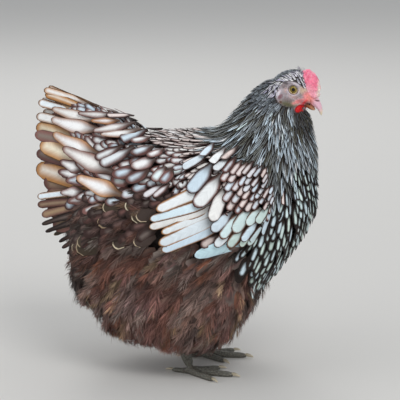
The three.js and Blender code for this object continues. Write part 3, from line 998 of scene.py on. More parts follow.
# %% Set out the looks
LOOKS = {  # two shades that the middles lie between and two for the rims, then the lace and its softness
    # as shares of the half width, the dark edge in mm, and 1 where only the tip is laced
    "crown": (("black", "slate"), ("silver", "black"), 0.30, 0.30, 0.0, 0),
    "brow": (("white", "violet"), ("black", "slate"), 0.30, 0.20, 0.0, 0),
    "throat": (("black", "dark"), ("moss", "slate"), 0.34, 0.24, 0.0, 0),
    "silver": (("frost", "white"), ("black", "slate"), 0.46, 0.18, 0.0, 0),
    "hackle": (("black", "dark"), ("silver", "frost"), 0.46, 0.16, 0.0, 0),
    "dark_hackle": (("black", "dark"), ("moss", "silver"), 0.32, 0.22, 0.0, 0),
    "breast": (("mint", "frost"), ("dark", "dark"), 0.68, 0.24, 0.8, 0),
    "back": (("white", "pink"), ("umber", "chocolate"), 0.50, 0.34, 1.0, 0),
    "saddle": (("white", "frost"), ("rim", "umber"), 0.60, 0.40, 0.8, 0),
    "bead": (("frost", "pink"), ("russet", "umber"), 0.50, 0.34, 0.7, 0),
    "small_bead": (("pink", "white"), ("russet", "umber"), 0.58, 0.30, 1.0, 0),
    "front": (("mint", "frost"), ("gold", "umber"), 0.28, 0.18, 0.7, 0),
    "flight": (("white", "frost"), ("gold", "tan"), 0.26, 0.16, 0.35, 0),
    "lowest": (("sky", "sky"), ("frost", "frost"), 0.12, 0.10, 0.2, 0),
    "broad": (("white", "frost"), ("umber", "russet"), 0.25, 0.20, 0.9, 0),
    "tan_end": (("cream", "white"), ("tan", "tan"), 0.66, 0.55, 0.9, 0),
    "blue_end": (("frost", "white"), ("tan", "umber"), 0.36, 0.32, 0.8, 0),
    "pointed": (("white", "white"), ("rim", "tan"), 0.50, 0.44, 0.6, 0),
    "hidden": (("straw", "grey"), ("rim", "umber"), 0.60, 0.55, 0.3, 0),
    "under": (("soot", "olive"), ("straw", "cream"), 0.13, 0.10, 0.0, 1),
    "dusky": (("rim", "grey"), ("dark", "chocolate"), 0.80, 0.60, 0.0, 0),
    "fluff": (("soot", "mauve"), ("red", "grey"), 0.60, 0.60, 0.0, 0),
}
print(len(LOOKS), "looks of feather")


# %% Mark the feathers
def blended(first, second, share):
    """Colours between two shades, one for each share."""
    share = np.asarray(share)[:, None]
    return SHADES[first] * (1 - share) + SHADES[second] * share


def marked(look, half, random, spread=0.12):
    """The marks of a batch: each feather's own shades, lace, softness and dark edge."""
    middles, rims, lace, soft, edge, tip_only = LOOKS[look]
    count = len(half)
    tone = np.exp(random.normal(0, spread, (count, 1)))
    width = half / MM
    return {
        "centre": np.clip(blended(*middles, random.uniform(0, 1, count)) * tone, 0, 1),
        "rim": np.clip(blended(*rims, random.uniform(0, 1, count)) * tone, 0, 1),
        "lace": lace * width * np.exp(random.normal(0, 0.15, count)),
        "soft": soft * width,
        "edge": np.full(count, edge),
        "skew": random.uniform(-0.4, 0.4, count),
        "tip_only": np.full(count, float(tip_only)),
    }


# %% [markdown]
# ## The colours of the bare skin
# The comb is coral pink, with painted highlights along its front, on the tops of its pebbles and low
# on it; the wattles are blood red, and the face is a thin greyish lilac skin that warms to salmon
# towards the beak. Each point of the skin keeps its colour; noise in the finish breaks it up into the
# speckle of real skin. Under the coat the skin is dark, like the down.

# %% Name the shades of the skin
SKIN_SHADES = {name: linear(code) for name, code in {
    "down": "2c2320", "face": "aa9fa4", "cheek": "7d6e6e", "pale": "e8dfe8", "beige": "dcbfa4",
    "pink": "f08f90", "gape": "e02a30", "comb": "fb84a0", "comb_dark": "ee5a80", "comb_pale": "ffc6d0",
    "comb_highlight": "f8e6da", "coral": "fd9a90", "wattle": "cf0d12", "wattle_dark": "8a0a10",
    "ear": "6e3440", "brown": "5e3b26", "dusk": "4a4448", "blush": "d2b4b2", "mouth": "5a2a1c",
    "lid": "e0c796", "crease_shade": "7c4a40", "olive": "5f5b42", "shank": "76746b", "shank_dark": "45423c",
}.items()}
SKIN_SPOTS = [  # shade, place (ahead, up) and size in mm, in the head's frame, and how much it covers
    ("cheek", (1, -15), (12, 4), 0.8),
    ("blush", (5, -8), (9, 4.5), 0.8),
    ("olive", (3, -20), (13, 5), 1.0),
    ("cheek", (-14, -1), (6, 6), 0.7),
    ("blush", (-9, -5), (3, 4), 0.7),
    ("dusk", (-15, 4), (7, 3), 0.9),
    ("pale", (0, 9), (8, 3), 0.6),
    ("beige", (12, 5), (6, 7), 0.9),
    ("beige", (10, -16), (5, 3), 0.5),
    ("pink", (19, 0), (6, 7), 1.0),
    ("coral", (24, -3), (6, 6.5), 1.0),
    ("ear", (-10, -14.5), (3.2, 4.6), 0.8),
    ("pale", (-14.5, -13), (2.2, 7), 0.9),
    ("brown", (-6, -20), (2.6, 2.2), 0.95),
    # painted shade in the corner of the mouth, where the beaks part
    ("mouth", (25.5, -11.5), (7, 4), 1.0),
]
print(len(SKIN_SPOTS), "spots of", len(SKIN_SHADES), "shades")


# %% Colour the bare face
def laid_over(tone, name, cover):
    """The tones with this shade over them, as much as the cover says."""
    return tone + (SKIN_SHADES[name] - tone) * np.clip(cover, 0, 1)[:, None]


def skin_tones(head):
    """The colour of the head's skin at places in its frame."""
    tone = np.tile(SKIN_SHADES["down"], (len(head), 1))
    tone = laid_over(tone, "face", bareness(head) * (from_head(head) < FACE_WITHIN))
    for name, middle, size, cover in SKIN_SPOTS:
        apart = np.linalg.norm((head[:, [0, 2]] - middle) / size, axis=1)
        tone = laid_over(tone, name, cover * (1 - eased((apart - 0.2) / 1.1)) * bareness(head))
    for (first, last, wide, _), name in zip(GAPE_FOLDS, ("gape", "pink", "pink")):
        tone = laid_over(tone, name, 0.85 * np.exp(-((off_fold(head, first, last) / wide) ** 2)))
    eyewards = round_eyes(head)
    below = eased((3 - head[:, 2] + 0.5 * head[:, 0]) / 6)
    tone = laid_over(tone, "lid", (1 - eased((eyewards - 1.10) / 0.12)) * (0.45 + 0.55 * below))
    # painted shade in the fold under the lower lid
    tone = laid_over(tone, "crease_shade", np.exp(-(((eyewards - 1.30) / 0.08) ** 2)) * (0.25 + 0.6 * below))
    # painted shade of the brow over the upper lid
    tone = laid_over(tone, "dusk", np.exp(-(((eyewards - 1.16) / 0.12) ** 2)) * (1 - below) * 0.75)
    return laid_over(tone, "pale", np.exp(-(((eyewards - 1.62) / 0.16) ** 2)) * 0.55 * below)


# %% Finish the skin
def skin_finish():
    """Flesh that is speckled by noise, with grooved scales where the skin is scaly."""
    made = Finish("bare_skin", 0.55, Specular_IOR_Level=0.35, Subsurface_Weight=0.10)
    made.shader.inputs["Subsurface Scale"].default_value = 1.2 * MM
    made.shader.inputs["Subsurface Radius"].default_value = (1.0, 0.35, 0.25)
    place = made.node("TexCoord", {}, {}, output=3)
    fine = made.noise(place, 1400.0, 3.0)
    wide = made.noise(place, 420.0, 2.0)
    light = (fine - 0.5) * 0.8 + (wide - 0.5) * 0.9 + 1.0
    skinny = made.times(made.attribute("tone"), light)
    scaly = made.attribute("scaly", "Fac")
    tall = made.node("Mapping", {}, {"Vector": place, "Scale": (1.0, 1.0, 1.5)})
    seam = made.node("TexVoronoi", {"feature": "DISTANCE_TO_EDGE"}, {"Vector": tall, "Scale": 260.0})
    groove = made.step(seam, 0.16, 0.02) * scaly
    made.set("Base Color", made.mix(groove * 0.8, skinny, SKIN_SHADES["shank_dark"]))
    made.bump(fine * 0.5 + wide - groove * 1.6, 0.45, 0.6 * MM)
    return made


# %% Keep colours on a piece
def keep_tones(piece, tones):
    """Stores a colour for each point of a piece."""
    layer = piece.data.attributes.new("tone", "FLOAT_COLOR", "POINT")
    layer.data.foreach_set("color", np.c_[tones, np.ones(len(tones))].astype(np.float32).ravel())


def smooth_with(piece, finish):
    piece.data.polygons.foreach_set("use_smooth", np.ones(len(piece.data.polygons), bool))
    piece.data.materials.clear()
    piece.data.materials.append(finish.material)


# %% Mottle the comb
# painted highlight: the comb's front edge is made paler
highlit_front = eased((head[:, 0] - 0.55 * np.abs(head[:, 1]) - 25 + 0.28 * head[:, 2]) / 6)
mottle = np.zeros(len(head))
for index in np.nonzero(part_of["comb"])[0]:
    mottle[index] = 0.6 * noise.noise(Vector(head[index]) / 3) + noise.noise(Vector(head[index]) / 9)
print("the comb is mottled from", round(mottle.min(), 2), "to", round(mottle.max(), 2))

# %% Paint the skin
on_comb = part_of["comb"].astype(float)
comb_foot = eased((6 - head[:, 2]) / 9) * eased((26 - head[:, 0]) / 6)
in_red = (beside != 0) * (1 - eased((in_wattle(head) - 0.95) / 0.2))
feet = skin_places[:, 2] < FEET_TOP
tones = skin_tones(head)
for name, cover in (
    ("comb", on_comb),
    ("comb_dark", on_comb * eased((mottle - 0.05) / 0.5) * 0.6),
    ("comb_pale", on_comb * eased((-0.05 - mottle) / 0.5) * 0.6),
    # painted highlight: the lower part of the comb is paler
    ("comb_pale", on_comb * eased((18 - head[:, 2]) / 10) * 0.5),
    ("coral", on_comb * comb_foot * 0.8),
    # painted highlight on the comb's front edge and, faintly, on the tops of its pebbles
    ("comb_highlight", on_comb * np.maximum(highlit_front, eased((raised - 0.3) / 0.6) * 0.15)),
    ("wattle", in_red),
    ("wattle_dark", in_red * eased((in_wattle(head) - 0.6) / 0.4) * 0.8),
    ("shank", feet.astype(float)),
):
    tones = laid_over(tones, name, cover)
skin.data.attributes.new("scaly", "FLOAT", "POINT").data.foreach_set("value", feet.astype(np.float32))
keep_tones(skin, tones)
smooth_with(skin, skin_finish())
print("painted", len(tones), "points,", int(feet.sum()), "of them on the feet")

# %% [markdown]
# ## Eyes
# A hen's eye is an olive amber iris with a round black pupil behind a clear bulging cornea. Each
# eyeball is a sphere whose pole looks outwards. Its points keep their angle from the pole, from which
# the finish draws the pupil, the iris and its fibres, under a clear coat.

# %% Finish the eyes
IRIS_ANGLE = 0.74  # from the pole, in radians
PUPIL_ANGLE = 0.31


def eye_finish():
    """A dark pupil, an iris of fibres and a darker rim, each between two angles from the pole."""
    made = Finish("eye", 0.35, Specular_IOR_Level=0.25, Coat_Weight=0.2, Coat_Roughness=0.05)
    angle, turn, _ = made.parts(made.attribute("gaze", "Vector"))
    fanned = made.node("CombineXYZ", {}, {"X": angle * 2.0, "Y": turn * 9.0, "Z": 0.0})
    fibres = made.noise(fanned, 3.0, 3.0)
    iris = made.mix(fibres, linear("65521a"), linear("b3a050"))
    iris = made.mix(made.step(angle, 0.50, 0.26), iris, linear("5c4708"))
    rim = made.step(angle, IRIS_ANGLE - 0.12, IRIS_ANGLE)
    shaded = made.mix(rim, iris, linear("1a1410"))
    pupil = made.step(angle, PUPIL_ANGLE + 0.02, PUPIL_ANGLE - 0.02)
    made.set("Base Color", made.mix(pupil, shaded, linear("010101")))
    return made


# %% Make the eyes
CORNEA_BULGE = 0.05  # how far the cornea stands out, as a share of the radius
LOOKING_AHEAD = 0.06  # how much of the gaze goes forward

eye_look = eye_finish()
low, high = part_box("eye_right")
eye_radius = (high.z - low.z) / 2
for name, side in SIDES.items():
    shape = bmesh.new()
    bmesh.ops.create_uvsphere(shape, u_segments=48, v_segments=36, radius=eye_radius)
    gaze = (head_left * side + head_ahead * LOOKING_AHEAD).normalized()
    turned = gaze.to_track_quat("Z", "Y").to_matrix()
    seen = []
    for point in shape.verts:
        angle = point.co.angle(Vector((0, 0, 1)))
        seen.append((angle, math.atan2(point.co.y, point.co.x), 0))
        bulge = CORNEA_BULGE * max(0.0, 1 - (angle / IRIS_ANGLE) ** 2)
        point.co = turned @ (point.co * (1 + bulge)) + eye_places[name]
    mesh = bpy.data.meshes.new("eyeball_" + name)
    shape.to_mesh(mesh)
    shape.free()
    mesh.attributes.new("gaze", "FLOAT_VECTOR", "POINT").data.foreach_set("vector", np.ravel(seen))
    eyeball = new_object("eyeball_" + name, mesh)
    smooth_with(eyeball, eye_look)
    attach(eyeball, "root")
    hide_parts("eye_" + name)
print("the eyeballs are", round(2 * eye_radius / MM, 1), "mm across")

# %% [markdown]
# ## Beak and claws
# Horn grows in thin layers, so it is smooth, faintly streaked along its length and a little see-through
# at the thin tip. The solids are wrapped again finely and smoothed, and the nostrils are pressed into
# the upper beak.

# %% Finish the horn
def horn_finish():
    """Horn in faint layers under a thin gloss."""
    made = Finish("horn", 0.38, Specular_IOR_Level=0.5, Coat_Weight=0.15, Coat_Roughness=0.2)
    place = made.node("TexCoord", {}, {}, output=3)
    layers = made.noise(place, 700.0, 3.0)
    light = (layers - 0.5) * 0.3 + 1.0
    made.set("Base Color", made.times(made.attribute("tone"), light))
    made.bump(layers, 0.2, 0.3 * MM)
    return made


# %% Colour the beak and the claws
NOSTRIL = (33.0, -2.2)  # ahead and up in the head's frame, in mm
NOSTRIL_SIZE = (2.6, 0.9)


def between_shades(share, first, second):
    return linear(first) + (linear(second) - linear(first)) * eased(share)[:, None]


def round_nostril(head):
    """Distance from the nostril's middle, 1 at its edge, for places in the head's frame."""
    ahead = (head[:, 0] - NOSTRIL[0]) / NOSTRIL_SIZE[0]
    up = (head[:, 2] - NOSTRIL[1]) / NOSTRIL_SIZE[1]
    return np.hypot(ahead, up)


def beak_tones(places):
    """From flesh at the root through pink to a cream tip, with painted shade in the nostrils."""
    head = in_head(places)
    tone = between_shades((head[:, 0] - 25) / 9, "f08f8a", "ecbccb")
    tip = eased((head[:, 0] - head[:, 2] * 0.7 - 46) / 13)[:, None]
    tone = tone + (linear("efe0bd") - tone) * tip
    # painted shade inside the nostrils
    dark = (1 - eased((round_nostril(head) - 0.7) / 0.7))[:, None] * 0.85
    return tone + (linear("5a2018") - tone) * dark


def under_tones(places):
    """From brown at the root to a pale tip."""
    return between_shades((in_head(places)[:, 0] - 24) / 16, "96502a", "d8a880")


def claw_tones(places):
    """Pale at the ground and darker above."""
    return between_shades(places[:, 2] / (9 * MM), "d6cab2", "8a8168")


# %% Shape the beak
NOSTRIL_DEPTH = 1.3  # mm
MOUTH_RAISED = 2.4  # mm


def pressed_nostrils(places):
    """The upper beak with its nostrils."""
    head = in_head(places)
    depth = (1 - eased(round_nostril(head) / 1.3)) * NOSTRIL_DEPTH * eased((head[:, 2] + 5) / 3)
    return places - np.outer(depth * np.sign(head[:, 1]) * MM, head_axes[1])


def closed_mouth(places):
    """The lower beak with its upper edge raised into the upper beak."""
    head = in_head(places)
    top = head[:, 2].max()
    up = MOUTH_RAISED * eased((head[:, 2] - top + 5) / 4)
    return places + np.outer(up * MM, head_axes[2])


# %% Make the horn
HORN_VOXEL = 0.55 * MM

horn = horn_finish()


def horn_piece(name, nodes, tones_of, smoothing=8, shaped=None):
    """A smooth horn piece in the place of these solids."""
    piece = wrapped(copied(nodes, name), HORN_VOXEL, smoothing)
    places = numbers(piece.data.vertices, "co", 3)
    if shaped:
        places = shaped(places)
        place_vertices(piece, places)
    keep_tones(piece, tones_of(places))
    smooth_with(piece, horn)
    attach(piece, "root")
    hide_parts(*nodes)
    print(name, "has", len(piece.data.polygons), "faces")


horn_piece("beak_top", ["beak_upper"], beak_tones, shaped=pressed_nostrils)
horn_piece("beak_under", ["beak_lower"], under_tones, shaped=closed_mouth)
for name in SIDES:
    claws = [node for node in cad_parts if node.startswith("claw_" + name)]
    horn_piece("claws_" + name, claws, claw_tones, smoothing=4)

# %% [markdown]
# ## Small feathers
# Every scattered root grows a vane of the kind that the guides give there. The vane follows the
# surface, sinks under it at its root and stands a millimetre or so over it at its tip, where it covers
# the next one's root.

# %% Choose what grows where
CANDIDATES = 170000
ALONG_FEATHER = 0.3  # the share of its length at which a feather must be off the bare face

coat_places, coat_normals = surface_points(CANDIDATES, seed=7)
sizes = guided(coat_places) @ guide_sizes
chooser = np.random.default_rng(11)
kind_shares = (guided(coat_places, 3.0) @ guide_kinds) ** 2
kind_shares /= kind_shares.sum(1, keepdims=True)
coat_kinds = (kind_shares.cumsum(1) > chooser.uniform(0, 1, (CANDIDATES, 1))).argmax(1)
onwards = coat_places + lie(coat_places, coat_normals) * sizes[:, 1:2] * ALONG_FEATHER
bare = (bareness(in_head(onwards)) > 0.6) & (from_head(in_head(coat_places)) < FACE_WITHIN)
sparse = scattered(coat_places[~bare], sizes[~bare, 0])
sparse = np.nonzero(~bare)[0][sparse]
roots = {kind: sparse[coat_kinds[sparse] == index] for index, kind in enumerate(KINDS)}
print({kind: len(found) for kind, found in roots.items()})

# %% Shape the vane of each kind
VANES = {
    "head": Vane(4, 2, 0.4, 0.5, 0.0, 1.0, 0.25),
    "brow": Vane(5, 2, 0.4, 0.4, 0.5, 2.2, 0.25),
    "throat": Vane(5, 2, 0.4, 0.4, 0.4, 2.0, 0.25),
    "hackle": Vane(7, 2, 0.5, 0.35, 0.55, 2.2, 0.30),
    "breast": Vane(6, 4, 0.3, 0.5, 0.1, 1.5, 0.28),
    "wing": Vane(6, 6, 0.3, 0.5, 0.0, 1.4, 0.28),
    "back": Vane(6, 4, 0.3, 0.5, 0.25, 2.0, 0.28),
    "saddle": Vane(6, 6, 0.3, 0.5, 0.0, 1.6, 0.28),
    "under": Vane(6, 4, 0.3, 0.5, 0.0, 0.9, 0.22),
    "fluff": Vane(5, 4, 0.4, 0.4, 0.0, 1.2, 0.2),
}
LOOSENESS = {"under": 0.28}  # how far a kind strays from the guided way; the others stray by 0.10
KIND_LOOKS = {"head": "crown", "hackle": "dark_hackle", "wing": "bead"}  # others bear their own names
QUILL_STEPS = 7
FULL_RISE = 30  # mm, the length of a feather whose sink and lift are as given; longer ones have more
SINK = 6.0  # mm that its root lies under the surface

print(len(VANES), "shapes of vane")


# %% Grow a batch of vanes
def grown(kind, chosen, seed, lift=1.0, look=None, size=1.0):
    """A batch of vanes of a kind, rooted at the chosen places."""
    random = np.random.default_rng(seed)
    places, normals = coat_places[chosen], coat_normals[chosen]
    ways = lie(places, normals)
    swing = random.normal(0, LOOSENESS.get(kind, 0.10), (len(chosen), 1))
    ways = unit(ways + np.cross(ways, normals) * swing)
    reach = size * sizes[chosen, 1] * np.exp(random.normal(0, 0.07, len(chosen)))
    half = size * sizes[chosen, 2] * np.exp(random.normal(0, 0.08, len(chosen)))
    lines, ups = laid(places, ways, reach, QUILL_STEPS)
    rise = np.clip(reach / (FULL_RISE * MM), 0.25, 1.4) * MM
    lines = lifted(lines, ups, SINK * rise, (lift + random.uniform(-0.6, 0.6, len(chosen))) * rise)
    marks = marked(look or KIND_LOOKS.get(kind, kind), half, random)
    return vanes(lines, ups, half, VANES[kind], marks, random)


# %% [markdown]
# ## The folded wing
# A folded wing is a stack: the long flight feathers below, the top one over the next, then rows of
# broad coverts over their roots, and small round coverts like scales on the shoulder. The large ones
# are few and each is seen, so they are placed one by one, from root to tip on the bird's side. Their
# quills keep a smooth course over the surface there. The scales are many, so they are scattered in a
# fixed random order.

# %% List the wing's feathers
FLIGHT = [  # root and tip (along, up), half width in mm, look: the secondaries from the lowest up
    ((0.800, 0.495), (0.620, 0.440), 11.5, "lowest"),
    ((0.720, 0.550), (0.510, 0.455), 8.5, "flight"),
    ((0.715, 0.575), (0.500, 0.475), 10.0, "flight"),
    ((0.705, 0.595), (0.510, 0.512), 7.5, "flight"),
    ((0.700, 0.608), (0.466, 0.525), 7.5, "flight"),
    ((0.690, 0.620), (0.468, 0.550), 7.5, "flight"),
    ((0.675, 0.665), (0.492, 0.580), 9.6, "flight"),
]
BROAD = [  # the coverts that are seen one by one, from the low front of the wing up and back
    ((0.855, 0.595), (0.835, 0.550), 5.0, "front"),
    ((0.870, 0.600), (0.832, 0.506), 5.5, "front"),
    ((0.850, 0.550), (0.800, 0.492), 5.5, "front"),
    ((0.835, 0.520), (0.792, 0.482), 5.0, "front"),
    ((0.812, 0.526), (0.770, 0.478), 5.5, "front"),
    ((0.785, 0.535), (0.732, 0.474), 8.0, "front"),
    ((0.745, 0.530), (0.690, 0.478), 7.0, "broad"),
    ((0.860, 0.605), (0.822, 0.548), 6.0, "front"),
    ((0.828, 0.558), (0.776, 0.495), 6.2, "front"),
    ((0.835, 0.595), (0.790, 0.543), 7.0, "front"),
    ((0.770, 0.585), (0.710, 0.503), 7.8, "front"),
    ((0.805, 0.600), (0.750, 0.520), 9.0, "front"),
    ((0.745, 0.585), (0.680, 0.524), 8.2, "broad"),
    ((0.715, 0.660), (0.680, 0.553), 9.6, "broad"),
    ((0.700, 0.695), (0.622, 0.595), 12.0, "broad"),
    ((0.665, 0.725), (0.597, 0.635), 11.0, "broad"),
    ((0.645, 0.750), (0.568, 0.700), 7.8, "broad"),
]
MIDDLE = [  # the second row over them
    ((0.645, 0.768), (0.628, 0.735), 6.5, "broad"),
    ((0.690, 0.758), (0.660, 0.718), 7.0, "broad"),
    ((0.715, 0.735), (0.672, 0.698), 7.0, "broad"),
    ((0.735, 0.765), (0.695, 0.726), 7.0, "back"),
]
print(len(FLIGHT), "flight feathers and", len(BROAD) + len(MIDDLE), "broad coverts on each wing")


# %% Scatter the shoulder's scales
SHOULDER = [  # its corners: low rear, low front, top front, top rear
    (0.715, 0.572), (0.862, 0.592), (0.822, 0.682), (0.692, 0.695),
]
SHOULDER_DARTS = 900
BEAD_SIZES = (5.8, 3.2)  # half width in mm at the rear and at the front
BEADS_APART = 0.80  # how far apart two are, as a share of their half widths together
BEAD_ROOT = np.array([0.0055, 0.0085])  # from tip to root, along and up, for each mm of half width


def shoulder_beads(random):
    """Small round scales close together on the shoulder, smaller to the front, the lowest first."""
    low_rear, low_front, top_front, top_rear = np.array(SHOULDER)
    beads = []
    for _ in range(SHOULDER_DARTS):
        ahead, up = random.uniform(0, 1, 2)
        low = low_rear * (1 - ahead) + low_front * ahead
        top = top_rear * (1 - ahead) + top_front * ahead
        tip = low * (1 - up) + top * up
        half = BEAD_SIZES[0] + (BEAD_SIZES[1] - BEAD_SIZES[0]) * ahead
        gaps = [
            math.hypot((tip[0] - x) * length, (tip[1] - z) * height) / MM - BEADS_APART * (half + other)
            for _, (x, z), other, _ in beads
        ]
        if min(gaps, default=1) > 0:
            beads.append((tuple(tip + BEAD_ROOT * half), tuple(tip), half, "bead"))
    return sorted(beads, key=lambda bead: bead[1][1])


# %% Lay quills over one side
SIDE_STEPS = 9
SIDE_BEND = 2  # the degree of the smooth course that a quill follows


def outermost(along, up, side, trees):
    """How far out the surface lies on one side of the bird, and its normal, or None beside the bird."""
    outside = at(along, 2, up, side)
    hits = [tree.ray_cast(outside, Vector((0, -side, 0))) for tree in trees]
    hits = [hit for hit in hits if hit[0] is not None]
    if not hits:
        return None
    found = min(hits, key=lambda hit: hit[3])
    return abs(found[0].y), found[1]


def side_lines(feathers, side, rises, sink, trees, inner):
    """Quills on one side from each root to its tip, with the surface's normals."""
    shares = np.linspace(0, 1, SIDE_STEPS)
    lines, ups = [], []
    for (root, tip, *_), rise in zip(feathers, rises):
        course = [np.array(root) + (np.array(tip) - root) * share for share in shares]
        hits = [outermost(*place, side, trees) for place in course]
        found = [index for index, hit in enumerate(hits) if hit]
        aside = [hits[index][0] for index in found]
        normals = np.array([hits[index][1] for index in found])
        fitted = np.polyfit(shares[found], aside, min(SIDE_BEND, len(found) - 1))
        early = unit(normals[:1 + len(found) // 2].mean(0))
        late = unit(normals[len(found) // 2:].mean(0))
        up = unit(early * (1 - shares[:, None]) + late * shares[:, None])
        line = np.array([at(place[0], 0, place[1]) for place in course])
        line[:, 1] = side * np.maximum(np.polyval(fitted, shares), inner)
        lines.append(line + up * ((rise - sink * (1 - shares[:, None])) * MM))
        ups.append(up)
    return np.array(lines), np.array(ups)


# %% Place listed feathers, and keep others clear of them
COVERED = 0.75  # of its half width, within which a placed feather bears no others


def clear_of(chosen, covers, much=1.0):
    """The chosen roots whose feathers lie over none of these lines, which come with their reach."""
    places = coat_places[chosen]
    ends = places + lie(places, coat_normals[chosen]) * sizes[chosen, 1:2]
    free = np.ones(len(chosen), bool)
    for seen, near in covers:
        for share in (0.0, 0.5, 1.0):
            spots_on = places * (1 - share) + ends * share
            free &= np.linalg.norm(spots_on[:, None] - seen[None], axis=2).min(1) > near * much
    return chosen[free]


def placed(feathers, side, vane, rises, sink, trees, random, spread=0.05, shown=0.5, inner=0):
    """A batch of vanes of listed feathers on one side, and what their shown share covers."""
    lines, ups = side_lines(feathers, side, rises, sink, trees, inner)
    half = np.array([feather[2] for feather in feathers]) * MM
    parts = [marked(feather[3], half[i:i + 1], random, spread) for i, feather in enumerate(feathers)]
    marks = {key: np.concatenate([part[key] for part in parts]) for key in parts[0]}
    seen = lines[:, round((1 - shown) * (lines.shape[1] - 1)):]
    return vanes(lines, ups, half, vane, marks, random), list(zip(seen, COVERED * half))


# %% Cover the wings
BEAD_VANE = Vane(7, 6, 0.4, 0.5, 0.0, 1.3, 0.24)
FLIGHT_VANE = Vane(10, 6, 0.5, 0.35, 0.2, 1.8, 0.16)
BROAD_VANE = Vane(9, 6, 0.35, 0.55, 0.0, 1.7, 0.24)
SMALL_BEADS_ABOVE = at(0, 0, 0.60).z

wing_batches, covers = {}, {}
for name, side in SIDES.items():
    random = np.random.default_rng(40)
    wing_batches[name], covers[name] = [], []
    for feathers, vane, low, high, sink in (  # first and last feather's rise and the roots' sink, in mm
        (FLIGHT, FLIGHT_VANE, 0.2, 4.6, 4.0),
        (BROAD, BROAD_VANE, 4.2, 7.2, 5.0),
        (MIDDLE, BROAD_VANE, 6.6, 7.6, 5.0),
        (shoulder_beads(random), BEAD_VANE, 5.6, 8.2, 5.0),
    ):
        rises = np.linspace(low, high, len(feathers))
        shown = 0.85 if feathers is FLIGHT else 0.5
        batch, covered = placed(feathers, side, vane, rises, sink, [coat_tree], random, shown=shown)
        wing_batches[name].append(batch)
        covers[name] += covered
    near = roots["wing"][coat_places[roots["wing"], 1] * side > 0]
    kept = clear_of(near, covers[name])
    high_up = coat_places[kept, 2] > SMALL_BEADS_ABOVE
    small = grown("wing", kept[high_up], seed=41, lift=4.5, look="small_bead", size=0.9)
    wing_batches[name] += [small, grown("wing", kept[~high_up], seed=42, lift=3.0)]
    print(name, "wing:", len(covers[name]), "placed feathers and", len(kept), "between them")

# %% [markdown]
# ## The tail
# A hen's tail is a tent: on each side a fan of stiff feathers spreads from one point, and ever shorter
# coverts hide their lower halves. It is laid in layers from the inside out: a full row of plain
# feathers that closes the tent, loose feathers below it, the ones that make its edge, small coverts
# that fill in, and the long coverts. Those of the edge, the loose ones and the long coverts are placed
# one by one.

# %% List the tail's feathers
TAIL_FOOT = [  # root (along, up), tip (along, up), half width in mm, look: loose feathers below the tail
    ((0.260, 0.490), (0.118, 0.375), 5.0, "dusky"),
    ((0.270, 0.505), (0.100, 0.395), 5.5, "dusky"),
    ((0.270, 0.520), (0.090, 0.415), 5.0, "dusky"),
    ((0.270, 0.535), (0.072, 0.438), 5.5, "under"),
    ((0.265, 0.550), (0.060, 0.460), 5.0, "dusky"),
    ((0.260, 0.565), (0.048, 0.485), 5.5, "dusky"),
]
TAIL_EDGE = [  # root (along, up), tip (along, up), half width in mm, look: from the lowest feather up
    ((0.282, 0.600), (0.045, 0.515), 6.0, "hidden"),
    ((0.282, 0.595), (0.030, 0.547), 5.5, "hidden"),
    ((0.250, 0.620), (0.026, 0.572), 5.0, "blue_end"),
    ((0.280, 0.630), (0.011, 0.662), 13.5, "tan_end"),
    ((0.230, 0.680), (0.014, 0.712), 9.0, "hidden"),
    ((0.250, 0.690), (0.024, 0.740), 12.5, "tan_end"),
    ((0.220, 0.745), (0.004, 0.768), 8.0, "hidden"),
    ((0.210, 0.760), (0.002, 0.790), 10.0, "tan_end"),
    ((0.200, 0.800), (0.002, 0.824), 7.5, "blue_end"),
    ((0.200, 0.835), (0.004, 0.866), 6.5, "blue_end"),
    ((0.215, 0.845), (0.030, 0.894), 6.0, "tan_end"),
    ((0.215, 0.855), (0.026, 0.908), 5.5, "tan_end"),
]
TAIL_COVERTS = [
    ((0.240, 0.820), (0.060, 0.843), 9.5, "pointed"),
    ((0.250, 0.795), (0.060, 0.810), 11.3, "pointed"),
    ((0.260, 0.725), (0.077, 0.769), 12.1, "pointed"),
    ((0.320, 0.675), (0.128, 0.733), 13.0, "pointed"),
    ((0.360, 0.615), (0.192, 0.651), 13.0, "pointed"),
    ((0.280, 0.830), (0.162, 0.833), 6.9, "pointed"),
    ((0.300, 0.815), (0.210, 0.812), 7.8, "pointed"),
    ((0.345, 0.805), (0.225, 0.784), 8.6, "pointed"),
    ((0.365, 0.785), (0.253, 0.776), 9.5, "pointed"),
    ((0.340, 0.825), (0.252, 0.824), 5.2, "back"),
    ((0.330, 0.750), (0.250, 0.710), 7.8, "saddle"),
    ((0.370, 0.745), (0.270, 0.692), 9.5, "saddle"),
    ((0.385, 0.780), (0.317, 0.761), 8.6, "saddle"),
    ((0.400, 0.690), (0.319, 0.662), 11.3, "saddle"),
    ((0.420, 0.770), (0.356, 0.751), 8.6, "saddle"),
    ((0.440, 0.750), (0.373, 0.720), 11.3, "saddle"),
    ((0.445, 0.690), (0.373, 0.648), 10.3, "saddle"),
    ((0.460, 0.720), (0.382, 0.688), 10.3, "saddle"),
    ((0.480, 0.745), (0.433, 0.718), 8.6, "saddle"),
    ((0.500, 0.700), (0.468, 0.653), 9.5, "saddle"),
    ((0.525, 0.695), (0.496, 0.649), 8.6, "saddle"),
    ((0.500, 0.650), (0.440, 0.610), 5.5, "bead"),
    ((0.525, 0.655), (0.474, 0.610), 5.5, "bead"),
]
POINTED_COVERTS = 9  # the first of them are pointed, the others round
print(len(TAIL_EDGE), "feathers at the tail's edge and", len(TAIL_COVERTS), "coverts on each side")


# %% Find places in the fan
TAIL_POINT = (0.361, 0.6415)  # where the fan spreads from, along and up
TAIL_TOP = 45  # degrees above the level, at the highest feather
TAIL_BOTTOM = -34
TAIL_REACH = [0.447, 0.381, 0.351, 0.376]  # from the top feather down, as shares of the length


def eased_along(values, shares):
    """A smooth course through the values at even steps."""
    dense = np.linspace(0, 1, 61)
    course = np.interp(dense, np.linspace(0, 1, len(values)), values)
    for _ in range(40):
        course[1:-1] = (course[:-2] + 2 * course[1:-1] + course[2:]) / 4
    return np.interp(shares, dense, course)


